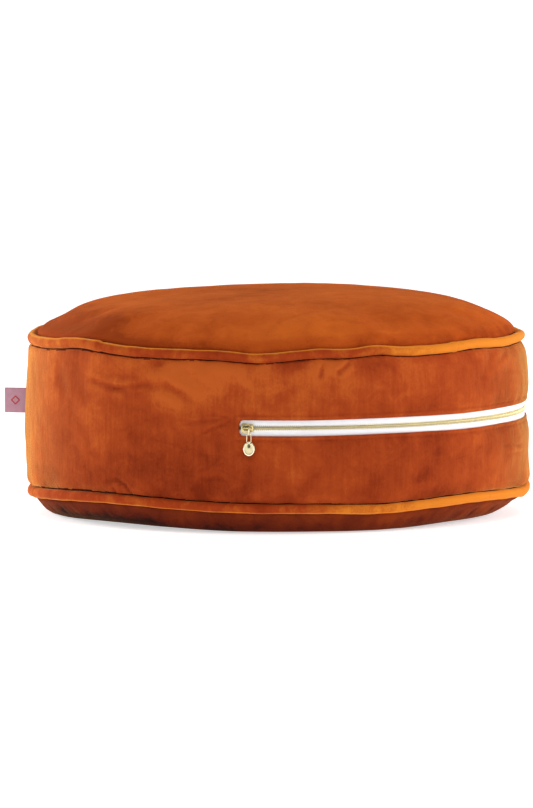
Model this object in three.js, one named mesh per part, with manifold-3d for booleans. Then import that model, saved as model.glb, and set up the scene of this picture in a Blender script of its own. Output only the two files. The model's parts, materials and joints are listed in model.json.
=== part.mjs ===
// A round floor cushion: a velvet box cover with piped edges and a brass zip, over a calico pad full of
// fibre. Millimetres, +Z up. The origin is the centre of the base, on the floor, and the front faces -Y.
// Azimuths are in degrees from +X towards +Y, so the front is -90 and the zip opens towards +X.
import * as THREE from "three";
import { mergeVertices } from "three/addons/utils/BufferGeometryUtils.js";
import Module from "manifold-3d";

const wasm = await Module();
wasm.setup();

// ---- driving dimensions ----
const GAP = 0.3; // clearance between touching pieces
const VELVET = 1.5; // thickness of the cover cloth
const CALICO = 0.8; // thickness of the pad cloth
const LOWER_SEAM_Z = 31;
const UPPER_SEAM_Z = 215;
const BAND_MIDDLE_Z = (LOWER_SEAM_Z + UPPER_SEAM_Z) / 2;
const CROWN_Z = 270; // outer top of the crown
const CROWN_FLAT_R = 70; // level patch in the middle of the crown
const CROWN_EDGE_R = 290.5; // where the crown turns down into the seam
const CROWN_EDGE_Z = UPPER_SEAM_Z + 3;
const BAND_R = 303; // outer radius of the band at mid height
const BASE_FLAT_R = 262; // the part of the base that rests on the floor
const PIPING_R = 294; // radius of the piping ring's centreline
const PIPING_COVER_R = 6;
const PIPING_CORD_R = 4.4;
const PIPING_CLOTH = 1.2;
const ALLOWANCE_R = 281; // how far in the seam allowances reach
const ALLOWANCE_TURN_R = 287; // where they turn out to the panels

const PAD_TOP_Z = CROWN_Z - VELVET - 1.2;
const PAD_BASE_Z = VELVET + 1.3;
const PAD_EDGE_R = 284; // where the pad's top panel turns down
const PAD_EDGE_Z = UPPER_SEAM_Z + 1;
const PAD_SEAM_R = 279;
const PAD_UPPER_SEAM = UPPER_SEAM_Z - 2.2;
const PAD_ALLOWANCE_R = 270;
const PAD_PLY = 0.7; // a pad allowance's height from the pad's seam

const RING_SEGMENTS = 36;
const RING_START = 2; // azimuth of a corner that every ring shares
const BAND_STEP = 10;
const ZIP_STEP = 3.5;

const SIDE_SEAM = -188; // the seam that holds the label
const BACK_SEAM = 82;

const ZIP_Z = 128.5;
const ZIP_R = 299.4; // middle of the tape and of the chain
const WINDOW_FROM = -98.5;
const WINDOW_TO = 71.5;
const WINDOW_HEIGHT = 17;
const TAPE_THICKNESS = 0.7;
const TAPE_WIDTH = 15.5; // each tape, from the chain to its raw edge
const TAPE_OVERRUN = 2.5; // degrees of tape hidden past each end of the window
const CHAIN_HEIGHT = 6.3; // both rows together
const CHAIN_THICKNESS = 2.4;
const ROW_GAP = 0.4;
const CHAIN_FROM = -96.8;
const CHAIN_TO = 70.2;

const SLIDER_AT = -96.54; // azimuth of the slider's middle with the zip closed
const SLIDER_LENGTH = 15;
const SLIDER_NOSE_WIDTH = 11.5;
const SLIDER_TAIL_WIDTH = 9.4;
const SLIDER_PLATE = 1.3;
const SLIDER_CHANNEL = 4.1; // between the two plates
const SLIDER_SLOT = 1.7; // between the lips, for the tapes
const SLIDER_LIP = 1;

const BRIDGE_OUT = 8; // the bridge bar's distance out from the chain
const BRIDGE_LENGTH = 10.2;
const BRIDGE_WIDTH = 2;
const BRIDGE_THICKNESS = 1.6;
const BRIDGE_POST = 1.6;
const WIRE_R = 0.5;
const PULL_AT = 2.6; // how far along the bridge the pull hangs, towards the tail
const LINK_TOP = 1.9; // centreline of the oval link's upper bend above the bar
const LINK_BOTTOM = -8.1;
const LINK_HALF_WIDTH = 2.6;
const LOOP_TOP = LINK_BOTTOM + 2 * WIRE_R + GAP;
const LOOP_BOTTOM = -16.9;
const LOOP_HALF_WIDTH = 2.5;
const DROP_CENTRE = -24.1;
const DROP_HALF_WIDTH = 7;
const DROP_HALF_HEIGHT = 8.75;
const DROP_THICKNESS = 1.8;
const LUG_R = 1.6;
const LUG_BORE_R = WIRE_R + GAP;
const LUG_HALF_WIDTH = 1.7;

const LABEL_Z = 132;
const LABEL_HEIGHT = 31;
const LABEL_FROM_R = 304;
const LABEL_TO_R = 330;
const LABEL_THICKNESS = 1.2;

// ---- materials ----
const velvet = new THREE.MeshStandardMaterial({ color: 0xb8501e, roughness: 0.9 });
const calico = new THREE.MeshStandardMaterial({ color: 0xe9e0cd, roughness: 0.95 });
const cord = new THREE.MeshStandardMaterial({ color: 0xe4dcc8, roughness: 0.95 });
const fibre = new THREE.MeshStandardMaterial({ color: 0xf4f4f1, roughness: 1 });
const tape = new THREE.MeshStandardMaterial({ color: 0xf3f3f6, roughness: 0.85 });
const brass = new THREE.MeshStandardMaterial({ color: 0xd8b65c, roughness: 0.28, metalness: 1 });
const ribbon = new THREE.MeshStandardMaterial({ color: 0xc49fb4, roughness: 0.55 });
const thread = new THREE.MeshStandardMaterial({ color: 0xb8322a, roughness: 0.7 });

// ---- helpers ----
const rad = THREE.MathUtils.degToRad;
const at = (x, y) => new THREE.Vector2(x, y);

/** Both sides of a line of points, each half a thickness away: {left, right} of the way it runs. */
function offsetLine(line, thickness) {
  const side = (sign) =>
    line.map((point, i) => {
      const before = line[Math.max(i - 1, 0)];
      const after = line[Math.min(i + 1, line.length - 1)];
      const into = point.clone().sub(i ? before : point);
      const outOf = after.clone().sub(i < line.length - 1 ? point : after);
      const a = (i ? into : outOf).normalize();
      const b = (i < line.length - 1 ? outOf : into).normalize();
      const normal = at(-a.y - b.y, a.x + b.x).normalize();
      const reach = thickness / 2 / Math.max(0.4, normal.dot(at(-a.y, a.x)));
      return point.clone().addScaledVector(normal, sign * reach);
    });
  return { left: side(1), right: side(-1) };
}

/** The closed outline of a cloth of some thickness that follows a line. */
function clothOutline(line, thickness) {
  const { left, right } = offsetLine(line, thickness);
  return [...right, ...left.reverse()];
}

/** A full ring or disc: a profile in (radius, height), turned about Z. */
function turned(profile) {
  const geometry = new THREE.LatheGeometry(profile, RING_SEGMENTS, rad(RING_START + 90));
  return geometry.rotateX(Math.PI / 2);
}

/** A closed ring from an outline that doesn't touch the axis. */
const ring = (outline) => turned([...outline, outline[0]]);

/** An outline in (radius, height) carried round part of a circle, with closed ends. */
function arc(outline, from, to, step) {
  const steps = Math.round((to - from) / step);
  const geometry = new THREE.ExtrudeGeometry(new THREE.Shape(outline), {
    depth: 1,
    steps,
    bevelEnabled: false,
  });
  const place = geometry.getAttribute("position");
  for (let i = 0; i < place.count; i++) {
    const radius = place.getX(i);
    const angle = rad(to + (from - to) * place.getZ(i));
    place.setXYZ(i, radius * Math.cos(angle), radius * Math.sin(angle), place.getY(i));
  }
  return geometry;
}

const rectangle = (x0, y0, x1, y1) => [at(x0, y0), at(x1, y0), at(x1, y1), at(x0, y1)];

/** A block between two corners. */
function block([x0, y0, z0], [x1, y1, z1]) {
  return new THREE.BoxGeometry(x1 - x0, y1 - y0, z1 - z0).translate(
    (x0 + x1) / 2,
    (y0 + y1) / 2,
    (z0 + z1) / 2,
  );
}

/** A shape drawn in (x, z), with its thickness along y from y0 to y1. */
function plate(shape, y0, y1, curveSegments = 8) {
  const geometry = new THREE.ExtrudeGeometry(shape, {
    depth: y1 - y0,
    bevelEnabled: false,
    curveSegments,
  });
  return geometry.rotateX(Math.PI / 2).translate(0, y1, 0);
}

/** An oblong with rounded corners, from one height to another, either way round. */
function oblong(path, halfWidth, bottom, top, corner) {
  path.moveTo(halfWidth, bottom + corner);
  path.lineTo(halfWidth, top - corner);
  path.absarc(halfWidth - corner, top - corner, corner, 0, Math.PI / 2);
  path.absarc(corner - halfWidth, top - corner, corner, Math.PI / 2, Math.PI);
  path.absarc(corner - halfWidth, bottom + corner, corner, Math.PI, 1.5 * Math.PI);
  path.absarc(halfWidth - corner, bottom + corner, corner, 1.5 * Math.PI, 2 * Math.PI);
  return path;
}

/** A flat oblong ring of wire, whose line is an oblong, lying in (x, z) about y = 0. */
function wireRing(halfWidth, bottom, top, corner) {
  const grown = (path, by) => oblong(path, halfWidth + by, bottom - by, top + by, corner + by);
  const shape = grown(new THREE.Shape(), WIRE_R);
  shape.holes.push(grown(new THREE.Path(), -WIRE_R));
  return plate(shape, -WIRE_R, WIRE_R, 3);
}

/** A geometry as a manifold-3d solid, for joining and cutting. */
function solid(geometry) {
  const bare = geometry.clone();
  bare.deleteAttribute("normal");
  bare.deleteAttribute("uv");
  const merged = mergeVertices(bare, 1e-4);
  return new wasm.Manifold(
    new wasm.Mesh({
      numProp: 3,
      vertProperties: merged.getAttribute("position").array,
      triVerts: new Uint32Array(merged.index.array),
    }),
  );
}

function geometryOf(made) {
  const mesh = made.getMesh();
  return new THREE.BufferGeometry()
    .setAttribute("position", new THREE.BufferAttribute(mesh.vertProperties, 3))
    .setIndex(new THREE.BufferAttribute(mesh.triVerts, 1));
}

const join = (...geometries) => geometryOf(geometries.map(solid).reduce((a, b) => a.add(b)));
const cut = (geometry, ...tools) =>
  geometryOf(tools.map(solid).reduce((a, b) => a.subtract(b), solid(geometry)));

const cushion = new THREE.Group();

function add(name, geometry, material, parent = cushion) {
  const mesh = new THREE.Mesh(geometry, material);
  mesh.name = name;
  parent.add(mesh);
  return mesh;
}

/** A group at an azimuth: its +X runs along the band and its -Y points out. */
function stationAt(azimuth, height) {
  const station = new THREE.Group();
  station.rotation.z = rad(azimuth + 90);
  station.position.z = height;
  cushion.add(station);
  return station;
}

/** Height of a domed cloth at a radius, as a quarter ellipse. */
const domeHeight = (radius, edgeR, edgeZ, rise) =>
  edgeZ + rise * Math.sqrt(Math.max(0, 1 - (radius / edgeR) ** 2));

/** A dome's line from the axis to its edge. */
function domeLine(radii, edgeR, edgeZ, topZ) {
  const rise = (topZ - edgeZ) / Math.sqrt(1 - (CROWN_FLAT_R / edgeR) ** 2);
  return [at(0, topZ), ...radii.map((r) => at(r, domeHeight(r, edgeR, edgeZ, rise)))];
}

/** A point's mirror image in the band's middle plane. */
const mirrored = (point) => at(point.x, 2 * BAND_MIDDLE_Z - point.y);

// ---- the cover ----
const ply = VELVET / 2 + GAP + PIPING_CLOTH + GAP / 2; // a seam allowance's height from the seam

function topPanel() {
  const line = [
    ...domeLine([CROWN_FLAT_R, 165, 235, 275], CROWN_EDGE_R, CROWN_EDGE_Z, CROWN_Z - VELVET / 2),
    at(288.8, UPPER_SEAM_Z + 7),
    at(ALLOWANCE_TURN_R, UPPER_SEAM_Z + ply),
    at(ALLOWANCE_R, UPPER_SEAM_Z + ply),
  ];
  const { left, right } = offsetLine(line, VELVET);
  add("top_panel", turned([...right, ...left.reverse()]), velvet);
}

function bottomPanel() {
  const line = [
    at(0, VELVET / 2),
    at(BASE_FLAT_R, VELVET / 2),
    at(275, 4.5),
    at(284, 12.5),
    at(288.5, LOWER_SEAM_Z - 7),
    at(ALLOWANCE_TURN_R, LOWER_SEAM_Z - ply),
    at(ALLOWANCE_R, LOWER_SEAM_Z - ply),
  ];
  const { left, right } = offsetLine(line, VELVET);
  add("bottom_panel", turned([...right, ...left.reverse()]), velvet);
}

function bandStrips() {
  const centre = BAND_R - VELVET / 2;
  const upper = [
    at(centre - 0.6, BAND_MIDDLE_Z + 44),
    at(centre - 3.2, BAND_MIDDLE_Z + 77),
    at(294, UPPER_SEAM_Z - 8.2),
    at(288, UPPER_SEAM_Z - 6),
    at(ALLOWANCE_TURN_R - 1.5, UPPER_SEAM_Z - ply),
    at(ALLOWANCE_R, UPPER_SEAM_Z - ply),
  ];
  const lower = upper.map(mirrored).reverse();
  const outline = clothOutline([...lower, at(centre, BAND_MIDDLE_Z), ...upper], VELVET);
  const seamGap = 0.05; // degrees

  const window = arc(
    rectangle(BAND_R - 8, ZIP_Z - WINDOW_HEIGHT / 2, BAND_R + 5, ZIP_Z + WINDOW_HEIGHT / 2),
    WINDOW_FROM,
    WINDOW_TO,
    BAND_STEP,
  );
  const long = arc(outline, SIDE_SEAM + seamGap, BACK_SEAM - seamGap, BAND_STEP);
  add("band_zip_strip", cut(long, window), velvet);
  add("band_back_strip", arc(outline, BACK_SEAM + seamGap, SIDE_SEAM + 360 - seamGap, BAND_STEP), velvet);
}

/** One edge's piping: a cord, and a cloth strip wrapped round it whose two plies go into the seam. */
function piping(edge, seamZ) {
  const outer = PIPING_COVER_R;
  const inner = PIPING_COVER_R - PIPING_CLOTH;
  const around = (radius, from, to, count) =>
    Array.from({ length: count + 1 }, (_, i) => {
      const angle = rad(from + ((to - from) * i) / count);
      return at(PIPING_R + radius * Math.cos(angle), seamZ + radius * Math.sin(angle));
    });
  const half = GAP / 2;
  const full = half + PIPING_CLOTH;
  const outline = [
    at(ALLOWANCE_R, seamZ - full),
    ...around(outer, -166, 166, 7),
    at(ALLOWANCE_R, seamZ + full),
    at(ALLOWANCE_R, seamZ + half),
    ...around(inner, 175, -175, 6),
    at(ALLOWANCE_R, seamZ - half),
  ];
  add(`${edge}_piping_cover`, ring(outline), velvet);
  add(`${edge}_piping_cord`, ring(around(PIPING_CORD_R, 0, 300, 5)), cord);
}

// ---- the pad inside ----
function pad() {
  const top = [
    ...domeLine([CROWN_FLAT_R, 165, 230, 262], PAD_EDGE_R, PAD_EDGE_Z, PAD_TOP_Z - CALICO / 2),
    at(PAD_SEAM_R - 1.5, PAD_UPPER_SEAM + 13),
    at(PAD_SEAM_R, PAD_UPPER_SEAM + PAD_PLY),
    at(PAD_ALLOWANCE_R, PAD_UPPER_SEAM + PAD_PLY),
  ];
  const topSides = offsetLine(top, CALICO);
  add("pad_top_panel", turned([...topSides.right, ...topSides.left.reverse()]), calico);

  const lowerSeam = 2 * BAND_MIDDLE_Z - PAD_UPPER_SEAM;
  const base = [
    at(0, PAD_BASE_Z + CALICO / 2),
    at(256, PAD_BASE_Z + CALICO / 2),
    at(273, 10.5),
    at(PAD_SEAM_R, lowerSeam - PAD_PLY),
    at(PAD_ALLOWANCE_R, lowerSeam - PAD_PLY),
  ];
  const baseSides = offsetLine(base, CALICO);
  add("pad_bottom_panel", turned([...baseSides.right, ...baseSides.left.reverse()]), calico);

  const upper = [
    at(294.6, BAND_MIDDLE_Z + 44),
    at(290.5, BAND_MIDDLE_Z + 72),
    at(PAD_SEAM_R, PAD_UPPER_SEAM - PAD_PLY),
    at(PAD_ALLOWANCE_R, PAD_UPPER_SEAM - PAD_PLY),
  ];
  add("pad_band", ring(clothOutline([...upper.map(mirrored).reverse(), ...upper], CALICO)), calico);

  const neck = PAD_ALLOWANCE_R - 1;
  const girth = 293; // the filling's widest radius
  const inside = CALICO + 1; // the filling's surface inside the pad's
  const side = [at(girth, BAND_MIDDLE_Z + 43), at(288, BAND_MIDDLE_Z + 69), at(neck, PAD_UPPER_SEAM - 4)];
  add(
    "fibre_filling",
    turned([
      at(0, PAD_BASE_Z + inside),
      at(254, PAD_BASE_Z + inside),
      at(neck, 11),
      ...side.map(mirrored).reverse(),
      ...side,
      at(neck, PAD_UPPER_SEAM + 11),
      at(225, PAD_TOP_Z - 24),
      at(160, PAD_TOP_Z - 11.5),
      at(CROWN_FLAT_R, PAD_TOP_Z - inside),
      at(0, PAD_TOP_Z - inside),
    ]),
    fibre,
  );
}

// ---- the zip ----
/** A tape and the row of teeth clamped on its edge; side is 1 for the upper half and -1 for the lower. */
function zipHalf(name, side) {
  const height = (distance) => ZIP_Z + side * distance;
  const box = (r0, d0, r1, d1) =>
    side > 0
      ? rectangle(r0, height(d0), r1, height(d1))
      : rectangle(r0, height(d1), r1, height(d0));

  const rowFrom = ROW_GAP / 2;
  const rowTo = CHAIN_HEIGHT / 2;
  const tapeFrom = rowFrom + 1.5;
  const t = TAPE_THICKNESS / 2;
  add(
    `zip_tape_${name}`,
    arc(
      box(ZIP_R - t, tapeFrom, ZIP_R + t, tapeFrom + TAPE_WIDTH),
      WINDOW_FROM - TAPE_OVERRUN,
      WINDOW_TO + TAPE_OVERRUN,
      ZIP_STEP,
    ),
    tape,
  );

  const out = CHAIN_THICKNESS / 2;
  const groove = t + GAP;
  const clamp = [
    at(ZIP_R - out, height(rowFrom)),
    at(ZIP_R + out, height(rowFrom)),
    at(ZIP_R + out, height(rowTo)),
    at(ZIP_R + groove, height(rowTo)),
    at(ZIP_R + groove, height(tapeFrom - GAP)),
    at(ZIP_R - groove, height(tapeFrom - GAP)),
    at(ZIP_R - groove, height(rowTo)),
    at(ZIP_R - out, height(rowTo)),
  ];
  if (side < 0) clamp.reverse();
  add(`zip_teeth_${name}`, arc(clamp, CHAIN_FROM, CHAIN_TO, ZIP_STEP), brass);
}

/** The little metal stops that sit on the face of the tapes. */
function zipStops() {
  const face = -(ZIP_R + TAPE_THICKNESS / 2 + GAP);
  const first = stationAt(-98.3, ZIP_Z);
  add("zip_top_stop_upper", block([-0.8, face - 1.2, 0.8], [0.8, face, 3]), brass, first);
  add("zip_top_stop_lower", block([-0.8, face - 1.2, -3], [0.8, face, -0.8]), brass, first);
  const last = stationAt(70.85, ZIP_Z);
  add("zip_bottom_stop", block([-1.5, face - 1.5, -3.2], [1.5, face, 3.2]), brass, last);
}

/** The slider's outline in (x, z): wide at the nose, towards -X, and narrower at the tail. */
function sliderOutline(inset, reach) {
  const nose = SLIDER_NOSE_WIDTH / 2 - inset;
  const tail = SLIDER_TAIL_WIDTH / 2 - inset;
  const widths = [at(-reach, nose), at(-1, nose), at(3, tail), at(reach, tail)];
  const mirror = widths.map((point) => at(point.x, -point.y));
  return new THREE.Shape([...mirror, ...widths.reverse()]);
}

/** The slider: two plates joined by a wedge at the nose, with lips along their edges and a bridge outside. */
function slider(parent) {
  const inside = SLIDER_CHANNEL / 2;
  const outside = inside + SLIDER_PLATE;
  const bite = 0.5; // how far joined shapes reach into each other
  const past = SLIDER_LENGTH;
  const channel = plate(sliderOutline(SLIDER_LIP, past), -inside, inside);
  const slot = block([-past, -SLIDER_SLOT / 2, -past], [past, SLIDER_SLOT / 2, past]);
  const plates = plate(sliderOutline(0, SLIDER_LENGTH / 2), -outside, outside);
  const nose = -SLIDER_LENGTH / 2 + 0.2;
  const wedge = new THREE.Shape([at(nose, -1.3), at(-2.4, -0.3), at(-2.4, 0.3), at(nose, 1.3)]);
  const half = BRIDGE_WIDTH / 2;
  const post = (x) => block([x, -BRIDGE_OUT, -half], [x + BRIDGE_POST, -outside + bite, half]);
  const thick = BRIDGE_THICKNESS / 2;
  const ends = BRIDGE_LENGTH / 2;
  const body = join(
    cut(plates, channel, slot),
    plate(wedge, -inside - bite, inside + bite),
    block([-ends, -BRIDGE_OUT - thick, -half], [ends, -BRIDGE_OUT + thick, half]),
    post(-ends),
    post(ends - BRIDGE_POST),
  );
  add("slider_body", body, brass, parent);
}

/** The oval link on the bridge bar, seen edge-on from outside. */
function pullLink(parent) {
  const link = wireRing(LINK_HALF_WIDTH, LINK_BOTTOM, LINK_TOP, LINK_HALF_WIDTH - 0.1);
  add("pull_link", link.rotateZ(Math.PI / 2).translate(PULL_AT, -BRIDGE_OUT, 0), brass, parent);
}

/** The square-cornered loop that hangs in the link and carries the drop. */
function pullLoop(parent) {
  const loop = wireRing(LOOP_HALF_WIDTH, LOOP_BOTTOM, LOOP_TOP, 0.8);
  add("pull_loop", loop.translate(PULL_AT, -BRIDGE_OUT, 0), brass, parent);
}

/** The oval drop, notched at the top round a bored lug that turns on the loop's lower bar. */
function pullDrop(parent) {
  const half = DROP_THICKNESS / 2;
  const oval = new THREE.Shape();
  oval.absellipse(0, DROP_CENTRE, DROP_HALF_WIDTH, DROP_HALF_HEIGHT, 0, 2 * Math.PI);
  const disc = plate(oval, -half, half, 28);
  const beside = LOOP_HALF_WIDTH + 1;
  const notch = block([-beside, -3, LOOP_BOTTOM - 2.2], [beside, 3, 0]);
  const web = block([-LUG_HALF_WIDTH, -half, LOOP_BOTTOM - 3], [LUG_HALF_WIDTH, half, LOOP_BOTTOM - 0.8]);
  const barrel = (radius, reach) =>
    new THREE.CylinderGeometry(radius, radius, 2 * reach, 16)
      .rotateZ(Math.PI / 2)
      .translate(0, 0, LOOP_BOTTOM);
  const body = join(cut(disc, notch), barrel(LUG_R, LUG_HALF_WIDTH), web);
  const drop = cut(body, barrel(LUG_BORE_R, LUG_HALF_WIDTH + 1));
  add("pull_drop", drop.translate(PULL_AT, -BRIDGE_OUT, 0), brass, parent);
}

// ---- the label ----
function label() {
  const seam = stationAt(SIDE_SEAM, LABEL_Z);
  const half = LABEL_THICKNESS / 2;
  add(
    "side_label",
    block([-half, -LABEL_TO_R, -LABEL_HEIGHT / 2], [half, -LABEL_FROM_R, LABEL_HEIGHT / 2]),
    ribbon,
    seam,
  );
  const size = 6;
  const diamond = (reach) => [at(reach, 0), at(0, reach), at(-reach, 0), at(0, -reach)];
  const shape = new THREE.Shape(diamond(size));
  shape.holes.push(new THREE.Path(diamond(size - 2).reverse()));
  const face = half + GAP;
  const motif = new THREE.ExtrudeGeometry(shape, { depth: 0.4, bevelEnabled: false })
    .rotateY(Math.PI / 2)
    .translate(face, -(LABEL_FROM_R + LABEL_TO_R) / 2 - 1, 0);
  add("label_motif", motif, thread, seam);
}

topPanel();
bottomPanel();
bandStrips();
piping("upper", UPPER_SEAM_Z);
piping("lower", LOWER_SEAM_Z);
pad();
zipHalf("upper", 1);
zipHalf("lower", -1);
zipStops();

const carriage = stationAt(SLIDER_AT, ZIP_Z);
const onChain = new THREE.Group();
onChain.position.y = -ZIP_R;
carriage.add(onChain);
slider(onChain);
pullLink(onChain);
pullLoop(onChain);
pullDrop(onChain);
label();

export default cushion;
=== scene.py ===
"""A round velvet floor cushion, dressed around its CAD frame.

Metres, +Z up. The cushion's axis is the Z axis, the floor is z = 0 and the front faces -Y.
Azimuths are in degrees from +X towards +Y, so the front is -90. Heights and radii are written in millimetres,
times MM.
"""

import json
import math

import bmesh
import bpy
import numpy as np
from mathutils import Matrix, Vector


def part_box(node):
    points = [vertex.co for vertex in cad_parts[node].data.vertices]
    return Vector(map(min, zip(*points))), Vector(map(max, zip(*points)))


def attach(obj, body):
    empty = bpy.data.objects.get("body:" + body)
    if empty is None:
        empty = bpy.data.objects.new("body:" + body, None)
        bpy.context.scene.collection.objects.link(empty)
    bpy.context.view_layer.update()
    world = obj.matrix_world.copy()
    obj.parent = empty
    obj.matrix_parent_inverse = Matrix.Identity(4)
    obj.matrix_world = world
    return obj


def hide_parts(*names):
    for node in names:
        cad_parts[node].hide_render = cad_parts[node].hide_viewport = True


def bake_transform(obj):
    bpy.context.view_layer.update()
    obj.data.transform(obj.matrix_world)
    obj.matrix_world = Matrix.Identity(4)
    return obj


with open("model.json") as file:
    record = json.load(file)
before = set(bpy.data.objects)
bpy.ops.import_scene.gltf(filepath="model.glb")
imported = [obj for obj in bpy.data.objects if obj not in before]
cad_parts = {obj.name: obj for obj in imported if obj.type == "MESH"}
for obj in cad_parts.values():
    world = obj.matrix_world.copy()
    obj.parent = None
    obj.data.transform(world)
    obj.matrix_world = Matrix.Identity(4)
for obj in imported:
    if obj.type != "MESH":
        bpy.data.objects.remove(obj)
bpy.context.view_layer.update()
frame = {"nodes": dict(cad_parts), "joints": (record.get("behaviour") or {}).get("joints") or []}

MM = 0.001


# ---- places taken from the CAD frame ----
def middle_z(node):
    low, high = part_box(node)
    return (low.z + high.z) / 2


def reach(node):
    """A node's largest distance from the cushion's axis."""
    return max(math.hypot(v.co.x, v.co.y) for v in frame["nodes"][node].data.vertices)


def joint(name):
    return next(j for j in frame["joints"] if j["name"] == name)


UPPER_SEAM = middle_z("upper_piping_cover")
LOWER_SEAM = middle_z("lower_piping_cover")
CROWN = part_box("top_panel")[1].z
PIPING_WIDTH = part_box("upper_piping_cover")[1].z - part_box("upper_piping_cover")[0].z
PIPING_R = reach("upper_piping_cover") - PIPING_WIDTH / 2
ZIP_Z = middle_z("slider_body")
CHAIN_R = (reach("zip_teeth_upper") + reach("zip_tape_upper")) / 2 - 0.8 * MM  # the chain's middle
BAR_WAY = joint("link_swing")["axis"]  # along the slider's bar, towards the zip's closed end
SLIDER_AT = math.degrees(math.atan2(BAR_WAY[0], -BAR_WAY[1]))
PULL_AT = -Vector(BAR_WAY).dot(Vector(joint("link_swing")["pos_m"])) / MM
LABEL_HINGE = Vector(joint("label_flip")["pos_m"])
LABEL_AT = math.degrees(math.atan2(LABEL_HINGE.y, LABEL_HINGE.x))

# ---- the cover's grid ----
COLUMNS = 320
STEP = 360 / COLUMNS
FIRST = 0.5  # azimuth of the first column
DISC_SIDE = COLUMNS // 4
RINGS = DISC_SIDE // 2

WINDOW_COLUMNS = (-88, 63)  # the columns at the ends of the zip's window, counted from the first one
WINDOW_FROM, WINDOW_TO = (FIRST + n * STEP for n in WINDOW_COLUMNS)
WINDOW_HALF = 9.3 * MM
SEAM_R = PIPING_R - 5.2 * MM
FACE_R = 299.0 * MM  # the band's radius where it comes out from under the piping
BULGE = 3.4 * MM  # how much further out the band is at mid height
CROWN_R = 290.6 * MM
BASE_R = 262 * MM
FLOOR_GAP = 0.4 * MM


def wrapped(degrees):
    return (degrees + 180) % 360 - 180


def azimuth_of(points):
    return np.degrees(np.arctan2(points[:, 1], points[:, 0]))


def outward(points):
    """The level way out from the cushion's axis at each point."""
    out = points * (1, 1, 0)
    return out / np.maximum(np.linalg.norm(out, axis=1), 1e-6)[:, None]


def hump(azimuth, centre, width):
    """A smooth bump, 1 at its centre, that fades over a width in degrees."""
    return np.exp(-0.5 * (wrapped(azimuth - centre) / width) ** 2)


def back_waves(azimuth, phase):
    """Gentle waves on the far half of a seam."""
    a = np.radians(azimuth)
    return 0.5 * (1 + np.sin(a)) * (1.2 * np.sin(5 * a + phase) + 0.8 * np.sin(9 * a + 2 * phase)) * MM


# where each seam stands higher or lower than level: centre and width in degrees, height in mm
UPPER_RISES = [(-142, 7.5, 6), (-94, 5, -4), (-80, 3, 1.2), (-66, 3.5, 3.2), (-36, 6, 2.8)]
UPPER_RISES += [(12, 16, -3.6), (-176, 8, -1.5)]
LOWER_RISES = [(-132, 17, 6.5), (-66, 7, -2.5), (-38, 9, 3), (-9, 6, -2.5), (6, 9, 3.5), (-178, 8, -2.5)]
ZIP_RISES = [(-84, 7, -0.4), (-61, 9, 0.5), (-44, 5, -0.2), (-25, 10, 0.5)]


def rises(azimuth, humps):
    return sum(height * hump(azimuth, centre, width) for centre, width, height in humps) * MM


def upper_seam(azimuth):
    tilt = 1.5 * MM * np.cos(np.radians(azimuth))
    return UPPER_SEAM + tilt + rises(azimuth, UPPER_RISES) + back_waves(azimuth, 1.3)


def lower_seam(azimuth):
    tilt = 0.8 * MM * np.cos(np.radians(azimuth))
    return LOWER_SEAM + tilt + rises(azimuth, LOWER_RISES) + back_waves(azimuth, 2.6)


def zip_line(azimuth):
    return ZIP_Z + rises(azimuth, ZIP_RISES)


def polar(radius, azimuth, height):
    """Points from their distance to the axis, azimuth and height."""
    a = np.radians(azimuth)
    return np.stack(np.broadcast_arrays(radius * np.cos(a), radius * np.sin(a), height), axis=-1)


# ---- small helpers for meshes ----
def new_object(name, data):
    obj = bpy.data.objects.new(name, data)
    bpy.context.scene.collection.objects.link(obj)
    return obj


def new_mesh(name, points, faces):
    mesh = bpy.data.meshes.new(name)
    mesh.from_pydata([tuple(p) for p in points], [], [tuple(f) for f in faces])
    mesh.update()
    mesh.shade_smooth()
    return new_object(name, mesh)


def read_points(obj):
    co = np.zeros(len(obj.data.vertices) * 3)
    obj.data.vertices.foreach_get("co", co)
    return co.reshape(-1, 3)


def write_points(obj, points):
    obj.data.vertices.foreach_set("co", np.asarray(points, dtype=np.float32).ravel())
    obj.data.update()


def settle(obj):
    """Applies an object's modifiers to its mesh."""
    graph = bpy.context.evaluated_depsgraph_get()
    mesh = bpy.data.meshes.new_from_object(obj.evaluated_get(graph))
    obj.modifiers.clear()
    obj.data = mesh
    return obj


def refine(obj):
    modifier = obj.modifiers.new("refine", "SUBSURF")
    modifier.levels = modifier.render_levels = 1
    return settle(obj)


def thicken(obj, thickness, offset=-1):
    modifier = obj.modifiers.new("thickness", "SOLIDIFY")
    modifier.thickness = thickness
    modifier.offset = offset
    return settle(obj)


def face_out(obj):
    mesh = bmesh.new()
    mesh.from_mesh(obj.data)
    bmesh.ops.recalc_face_normals(mesh, faces=mesh.faces)
    mesh.to_mesh(obj.data)
    mesh.free()


def tube_faces(stations, ring, closed=False):
    """The faces of a tube with a ring of points at each station: closed on itself, or with two ends."""
    faces = []
    for k in range(stations if closed else stations - 1):
        n = (k + 1) % stations
        for i in range(ring):
            j = (i + 1) % ring
            faces.append((k * ring + i, k * ring + j, n * ring + j, n * ring + i))
    if not closed:
        faces += [tuple(range(ring))[::-1], tuple(range((stations - 1) * ring, stations * ring))]
    return faces


# ---- the cover's shape before it is filled ----
def face_radius(height, azimuth):
    """The band's radius between its two tucked edges: fuller at the right, and leaning in at the top left."""
    middle = (UPPER_SEAM + LOWER_SEAM) / 2
    half = (UPPER_SEAM - LOWER_SEAM) / 2
    share = np.clip(np.abs(height - middle) / half, 0, 1)
    fuller = 3.0 * MM * hump(azimuth, -8, 30) * (1 - share**3)
    leaning = 3.4 * MM * hump(azimuth, 180, 38) * np.clip((height - middle) / half, 0, 1) ** 1.3
    return FACE_R + BULGE * (1 - share**2.2) + fuller - leaning


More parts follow.
